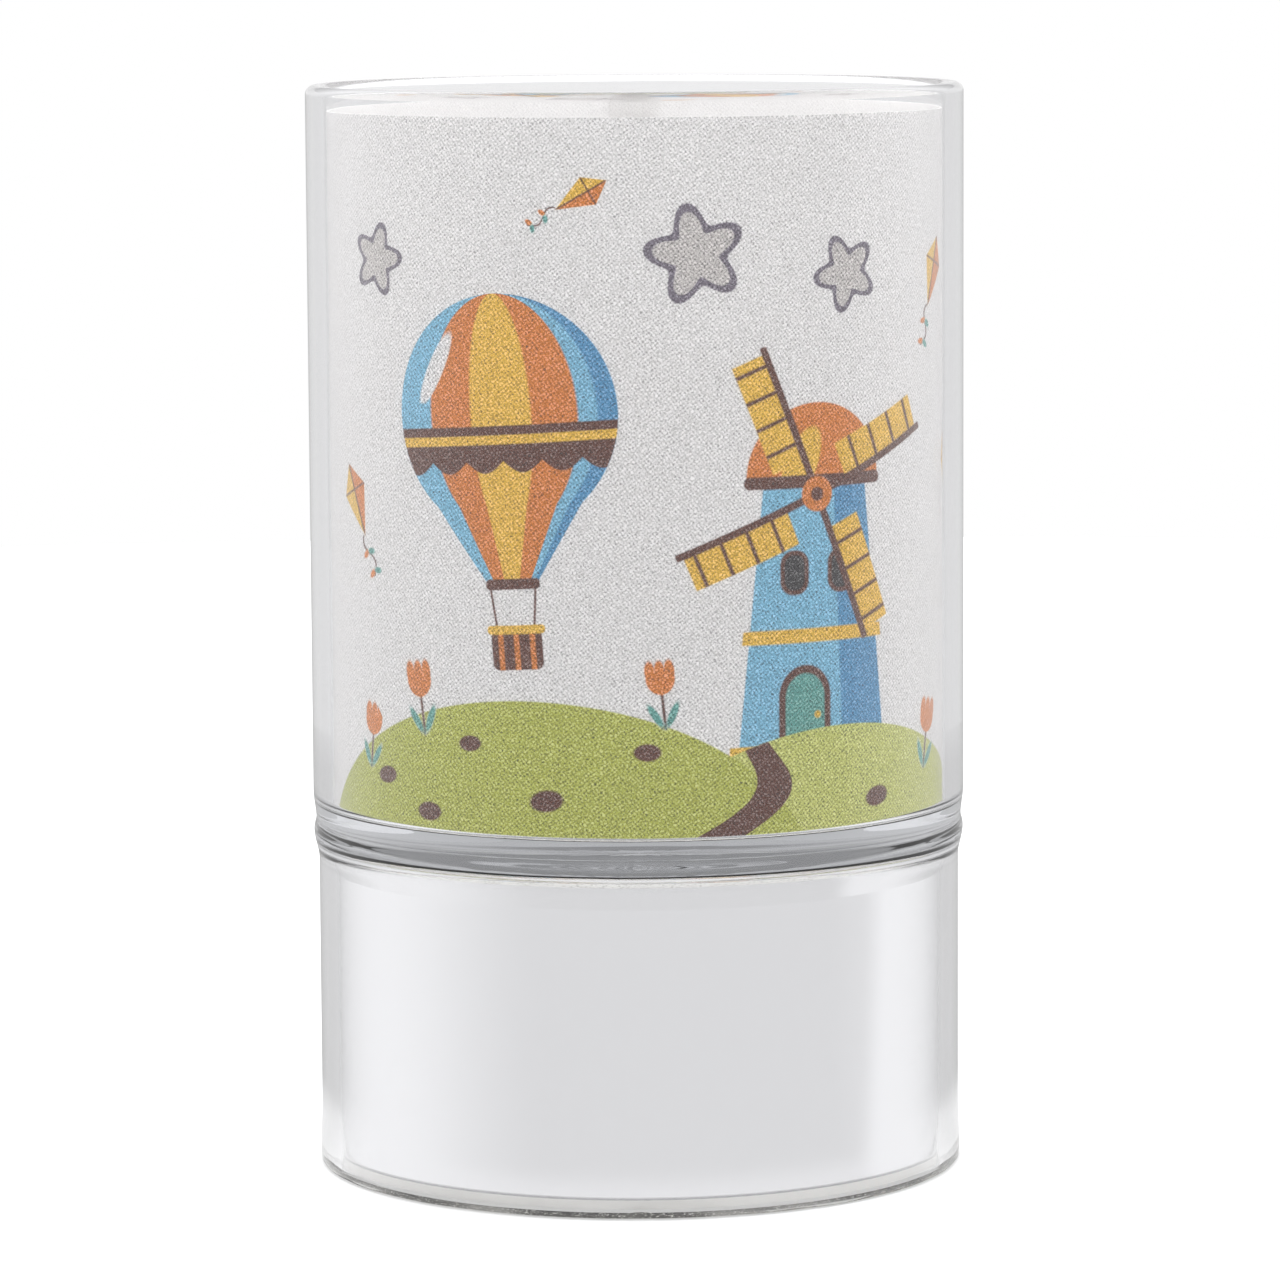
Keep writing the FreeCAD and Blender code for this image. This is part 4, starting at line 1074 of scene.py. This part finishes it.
# Azimuths in degrees, from 0 at the front, at which the card ends at the left and at the right, and
# the back starts, turned by BACK_ASIDE, and grows darker
LEFT_CARD = (-92, -30)
RIGHT_CARD = (76, 88)
BACK_START = (106, 150)
BACK_ASIDE = 2
EDGE_START = (160, 174)

# Light of the world from straight below, from the level, added from above and added from behind
LIGHT_BELOW = 1.07
LIGHT_LEVEL = 1.69
LIGHT_ABOVE = 0.9
LIGHT_BEHIND = 0.4


def build_studio_group():
    """Tone of the studio round the lamp by azimuth, from -180 to 180 degrees with 0 at the front:
    a grey card in front, white screens at both sides and a back of a given tone."""
    _, given, end = group_tree(
        "studio",
        {
            "Way": (VECTOR, None), "Back": (NUMBER, BACK_TONE),
            "Edge": (NUMBER, EDGE_TONE), "Flag": (NUMBER, 0.0),
        },
        {"Tone": NUMBER},
    )
    x, y, _ = split(given["Way"])
    azimuth = math_node("ARCTAN2", x, y * -1) * math.degrees(1)
    aside = abs(azimuth)
    card = both(ranged(azimuth, *LEFT_CARD, 0.0, 1.0), ranged(azimuth, *RIGHT_CARD, 1.0, 0.0))
    behind = ranged(abs(azimuth + BACK_ASIDE), *BACK_START, 0.0, 1.0)
    around = SIDE_TONE + (given["Back"] - SIDE_TONE) * behind
    around = around + (given["Edge"] - around) * ranged(aside, *EDGE_START, 0.0, 1.0)
    tone = around + (CARD_TONE - around) * card
    flag = given["Flag"] * ranged(aside, FLAG_ASIDE - 10, FLAG_ASIDE + 10, 0.0, 1.0)
    set_inputs(end, {"Tone": tone + (FLAG_TONE - tone) * flag})


def seen_how(tree):
    """Light Path masks: seen straight or through clear glass, and seen in a reflection. Where both
    are 0, the surface only lights others."""
    path = outputs_of(tree.nodes.new("ShaderNodeLightPath"))
    undiffused = math_node("LESS_THAN", path["Diffuse Depth"], 0.5)
    unmirrored = math_node("LESS_THAN", path["Glossy Depth"], 0.5)
    through = both(path["Is Transmission Ray"], both(undiffused, unmirrored))
    return either(path["Is Camera Ray"], through), both(undiffused, 1.0 - unmirrored)


def build_world(scene):
    """Even soft light, brighter from above; white behind the object and grey cards in reflections."""
    world = bpy.data.worlds.new("studio_world")
    scene.world = world
    world.use_nodes = True
    tree = world.node_tree
    tree.nodes.clear()
    way = Field(tree.nodes.new("ShaderNodeTexCoord").outputs["Generated"])
    _, y, z = split(way)
    rising = ranged(z, -0.9, -0.1, LIGHT_BELOW, LIGHT_LEVEL)
    ambient = rising + ranged(z, 0.2, 0.9, 0.0, LIGHT_ABOVE) + y * LIGHT_BEHIND
    over_low = ranged(z, FLAG_LOW - 0.02, FLAG_LOW + 0.02, 0.0, 1.0)
    under_high = ranged(z, FLAG_HIGH - 0.03, FLAG_HIGH + 0.03, 1.0, 0.0)
    high = ranged(z, -0.02, 0.02, 0.0, 1.0)
    studio = place_group(
        tree, "studio", Way=way, Flag=both(over_low, under_high),
        Back=high * (HIGH_BACK_TONE - BACK_TONE) + BACK_TONE,
        Edge=high * (HIGH_BACK_TONE - EDGE_TONE) + EDGE_TONE,
    )
    straight_on, mirrored = seen_how(tree)
    level = mirrored * studio["Tone"] + (1.0 - mirrored) * ambient
    level = straight_on + (1.0 - straight_on) * level
    back = add_node(tree, "ShaderNodeBackground", {"Color": level})
    add_node(tree, "ShaderNodeOutputWorld", {"Surface": back.outputs[0]})


FLOOR_RADIUS = 700 * MM
FLOOR_BELOW = 0.1 * MM
FLOOR_AROUND = 96

# Distances from the axis at which the floor's back turns from its near to its far tone, and at which a
# painted pool of light round the lamp's foot, seen in reflections, ends
FAR_FLOOR = (330 * MM, 400 * MM)
FOOT_FLOOR = (50 * MM, 70 * MM)


def floor_material():
    """A pale matt floor. Reflections see it in the studio's tones, by the bearing of each spot seen
    from the lamp's skirt, and from below it is clear."""
    material, tree, shader, out = new_material("pale_floor")
    point = object_point(tree)
    distance = vector_node("LENGTH", point)
    x, y, _ = split(point)
    bearing = math_node("ARCTAN2", x, y * -1)
    bent = bearing + math_node("SINE", bearing * 0.55) * (42 * MM) / distance
    way = joined(math_node("SINE", bent), math_node("COSINE", bent) * -1)
    back = ranged(distance, *FAR_FLOOR, NEAR_BACK_TONE, BACK_TONE)
    tone = place_group(tree, "studio", Way=way, Back=back)["Tone"]
    # Painted pool of light: in reflections the floor near the foot is brighter, for light that the mirror
    # liner throws down
    reflected = tone + (SIDE_TONE - tone) * ranged(distance, *FOOT_FLOOR, 0.5, 0.0)
    straight_on, mirrored = seen_how(tree)
    set_inputs(shader, {
        "Base Color": (0.5, 0.5, 0.505),
        "Roughness": 0.9,
        "Specular IOR Level": 0,
        "Emission Color": (1, 1, 1),
        "Emission Strength": straight_on * 0.3 + mirrored * reflected,
    })
    card = add_node(tree, "ShaderNodeEmission", {"Strength": reflected})
    surface = mixed(tree, mirrored, shader.outputs[0], card.outputs[0])
    clear = tree.nodes.new("ShaderNodeBsdfTransparent")
    from_below = tree.nodes.new("ShaderNodeNewGeometry").outputs["Backfacing"]
    set_inputs(out, {"Surface": mixed(tree, from_below, surface, clear.outputs[0])})
    return material


def build_floor():
    """A pale disc just under the foot: the circle (R cos a, R sin a), with a fan to its middle. It
    keeps the lamp's shadow."""
    angle = np.linspace(0, 2 * math.pi, FLOOR_AROUND, endpoint=False)
    rim = np.stack([FLOOR_RADIUS * np.cos(angle), FLOOR_RADIUS * np.sin(angle), 0 * angle], axis=-1)
    points = np.concatenate([rim, [[0, 0, 0]]]) - np.array([0, 0, FLOOR_BELOW])
    here = np.arange(FLOOR_AROUND)
    faces = np.stack([here * 0 + FLOOR_AROUND, here, (here + 1) % FLOOR_AROUND], axis=-1)
    floor = add_mesh("floor", points, faces.tolist(), [floor_material()])
    floor.visible_diffuse = False
    floor.visible_shadow = False


# The photograph's view: distance and height of the camera, its lens, and its angles in degrees
CAMERA_BACK = 692.5 * MM
CAMERA_HEIGHT = 143.2 * MM
CAMERA_LENS = 170.2
LOOK_DOWN = 6.85
LOOK_ASIDE = -0.024
ROLL = -0.34


def build_camera(scene):
    """A long lens, a little above the lamp, at the angle of the photograph."""
    data = bpy.data.cameras.new("camera")
    data.sensor_width = 36.0
    data.lens = CAMERA_LENS
    data.clip_start = 0.05
    data.clip_end = 50
    camera = bpy.data.objects.new("camera", data)
    scene.collection.objects.link(camera)
    tilt = Matrix.Rotation(math.radians(90 - LOOK_DOWN), 4, "X")
    yaw = Matrix.Rotation(math.radians(LOOK_ASIDE), 4, "Z")
    roll = Matrix.Rotation(math.radians(ROLL), 4, "Z")
    place = Matrix.Translation((0, -CAMERA_BACK, CAMERA_HEIGHT))
    camera.matrix_world = place @ yaw @ tilt @ roll
    scene.camera = camera


# Operators

class LAMP_OT_stage(bpy.types.Operator):
    """Build the floor, the world's light and the camera"""

    bl_idname = "lamp.stage"
    bl_label = "Stage"

    def execute(self, context):
        scene = context.scene
        scene.view_settings.view_transform = "Standard"
        build_studio_group()
        build_world(scene)
        build_floor()
        build_camera(scene)
        return {"FINISHED"}


class LAMP_OT_glass(bpy.types.Operator):
    """Build the clear glass body"""

    bl_idname = "lamp.glass"
    bl_label = "Glass body"

    def execute(self, context):
        glass = context.scene.lamp_glass
        profile = glass_profile(glass)
        around = GLASS_AROUND
        points, faces = turned(profile, around, lambda r, z, angle: worked_glass(glass, r, z, angle))
        low = profile[1:-1, 1] < GROUND_EDGE + 0.01 * MM
        ground = np.concatenate([np.repeat(low[:-1] & low[1:], around), np.zeros(2 * around, bool)])
        materials = [glass_material(glass), finished("ground_edge_with_painted_shade", ground_edge_with_painted_shade)]
        ground = ground.astype(np.int32)
        piece = add_mesh("clear_glass_body", points, faces, materials, face_material=ground)
        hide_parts("glass_body")
        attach(piece, BODY)
        return {"FINISHED"}


class LAMP_OT_print_sleeve(bpy.types.Operator):
    """Build the rolled sleeve with its woven structure and its print"""

    bl_idname = "lamp.print_sleeve"
    bl_label = "Printed sleeve"

    def execute(self, context):
        sheets = context.scene.lamp_sheets
        build_weave_group()
        for name, draw in DRAWINGS.items():
            build_drawing(name, draw, context.scene.lamp_print)
        outer_r = -SLEEVE_LOW.y
        middle_r = outer_r - sheets.fabric / 2
        flat = (2 * math.pi * middle_r + sheets.fabric_lap, SLEEVE_HIGH.z - SLEEVE_LOW.z)
        start = BACK - sheets.fabric_lap / middle_r / 2
        front_s = (FRONT - start) * middle_r
        repeat = math.pi * middle_r / MM
        cut = (sheets, flat, front_s, repeat)
        # The inside face is painted brighter than the outer face, standing in for light that falls in
        # through the open top
        materials = [
            fabric_material("printed_fabric", *cut, ink_strength=1.0, relief_and_painted_shade=1.1, tone=0.9),
            fabric_material("fabric_inside_painted_brighter", *cut, ink_strength=0.3, relief_and_painted_shade=0.25, tone=1.2),
        ]
        points, faces, uv, inside_face = rolled_sheet(
            outer_r, sheets.fabric, sheets.fabric_lap, sheets.fabric_gap, sheets.joggle,
            SLEEVE_LOW.z, SLEEVE_HIGH.z, rows=28, columns=300,
        )
        piece = add_mesh("printed_sleeve", points, faces, materials, uv, inside_face)
        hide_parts("print_sleeve")
        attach(piece, BODY)
        return {"FINISHED"}


class LAMP_OT_mirror_liner(bpy.types.Operator):
    """Build the rolled mirror liner of the skirt"""

    bl_idname = "lamp.mirror_liner"
    bl_label = "Mirror liner"

    def execute(self, context):
        sheets = context.scene.lamp_sheets
        points, faces, uv, _ = rolled_sheet(
            -LINER_LOW.y, sheets.film, sheets.film_lap, sheets.film_gap, sheets.joggle,
            LINER_LOW.z, LINER_HIGH.z, rows=12, columns=360,
        )
        piece = add_mesh("mirror_film_liner", points, faces, [finished("mirror_film", mirror_film)], uv)
        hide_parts("mirror_liner")
        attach(piece, BODY)
        return {"FINISHED"}


class LAMP_OT_plastic_parts(bpy.types.Operator):
    """Finish the drum, the door, the dish, the switch's knob, the tape, the chip and the resistors"""

    bl_idname = "lamp.plastic_parts"
    bl_label = "Plastic parts"

    def execute(self, context):
        build_grain_group()
        drum = ["module_housing", "battery_door"]
        dish = ["reflector_dish"]
        dress(drum, "white_plastic", plastic, "d3d2ce", roughness=0.42, grain=0.35)
        dress(dish, "reflector_plastic", plastic, "f0f0ee", roughness=0.18, grain=0.1, coat=0.3)
        dress(["switch_slider"], "slider_plastic", plastic, "232326", roughness=0.3, grain=0.25)
        dress(["driver_chip"], "chip_resin", plastic, "222224", roughness=0.5, grain=0.5)
        dress(["resistors"], "resistor_body", plastic, "2c2c30", roughness=0.35, grain=0.3)
        dress(["seam_tape"], "clear_tape", plastic, "e4e2da", roughness=0.3, grain=0.2)
        return {"FINISHED"}


class LAMP_OT_metal_parts(bpy.types.Operator):
    """Finish the screws, springs, contacts and the switch's metal"""

    bl_idname = "lamp.metal_parts"
    bl_label = "Metal parts"

    def execute(self, context):
        build_drawn_metal_group()
        upright = (1, 1, 0.15)
        level = (0.15, 1, 1)
        screws = ["dish_screws", "board_screws", "switch_screws"]
        springs = ["contact_spring_1", "contact_spring_2", "contact_spring_3"]
        strips = ["link_contact_right", "link_contact_left", "positive_terminal", "negative_terminal"]
        dress(screws, "screw_steel", metal, "c3c4c8", upright)
        dress(springs, "spring_steel", metal, "c8c8ca", level)
        dress(strips, "contact_steel", metal, "cbcac8", upright)
        dress(["switch_case"], "switch_steel", metal, "bdbec1", level)
        dress(["led_legs", "chip_legs"], "tinned_steel", metal, "cfcfd0", upright)
        dress(["switch_clip", "switch_terminals"], "contact_brass", metal, "c9a85c", level)
        return {"FINISHED"}


class LAMP_OT_power_and_light(bpy.types.Operator):
    """Finish the cells, the wires, the board and its diodes"""

    bl_idname = "lamp.power_and_light"
    bl_label = "Cells, wires and lights"

    def execute(self, context):
        dress(["battery_1", "battery_2", "battery_3"], "cell_jacket", cell_jacket)
        dress(["led_board"], "board_laminate", board)
        dress(["led_1", "led_2", "led_3"], "led_resin", resin)
        dress(["lead_red"], "wire_red", insulation, "b3231f")
        dress(["lead_black"], "wire_black", insulation, "26262a")
        dress(["lead_yellow"], "wire_yellow", insulation, "d8b32c")
        return {"FINISHED"}


class LAMP_OT_foam_ring(bpy.types.Operator):
    """Finish the soft ring between the module and the glass floor"""

    bl_idname = "lamp.foam_ring"
    bl_label = "Foam ring"

    def execute(self, context):
        dress(["foam_ring"], "foam", foam)
        return {"FINISHED"}


OPERATORS = [
    LAMP_OT_stage, LAMP_OT_glass, LAMP_OT_print_sleeve, LAMP_OT_mirror_liner, LAMP_OT_plastic_parts,
    LAMP_OT_metal_parts, LAMP_OT_power_and_light, LAMP_OT_foam_ring,
]


class LAMP_PT_builder(bpy.types.Panel):
    """Sidebar panel with the sizes, the inks and one button for each group of pieces"""

    bl_label = "Glass night lamp"
    bl_space_type = "VIEW_3D"
    bl_region_type = "UI"
    bl_category = "Lamp"

    def draw(self, context):
        layout = self.layout
        for name, group in SETTINGS.items():
            box = layout.box()
            settings = getattr(context.scene, name)
            for field in group.__annotations__:
                box.prop(settings, field)
        for operator in OPERATORS:
            layout.operator(operator.bl_idname)


CLASSES = [*SETTINGS.values(), *OPERATORS, LAMP_PT_builder]


def register():
    for kind in CLASSES:
        bpy.utils.register_class(kind)
    for name, group in SETTINGS.items():
        setattr(bpy.types.Scene, name, bpy.props.PointerProperty(type=group))


def unregister():
    for name in SETTINGS:
        delattr(bpy.types.Scene, name)
    for kind in reversed(CLASSES):
        bpy.utils.unregister_class(kind)


def main():
    """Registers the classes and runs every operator."""
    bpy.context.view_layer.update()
    register()
    for operator in OPERATORS:
        group, name = operator.bl_idname.split(".")
        getattr(getattr(bpy.ops, group), name)()


if __name__ == "__main__":
    main()
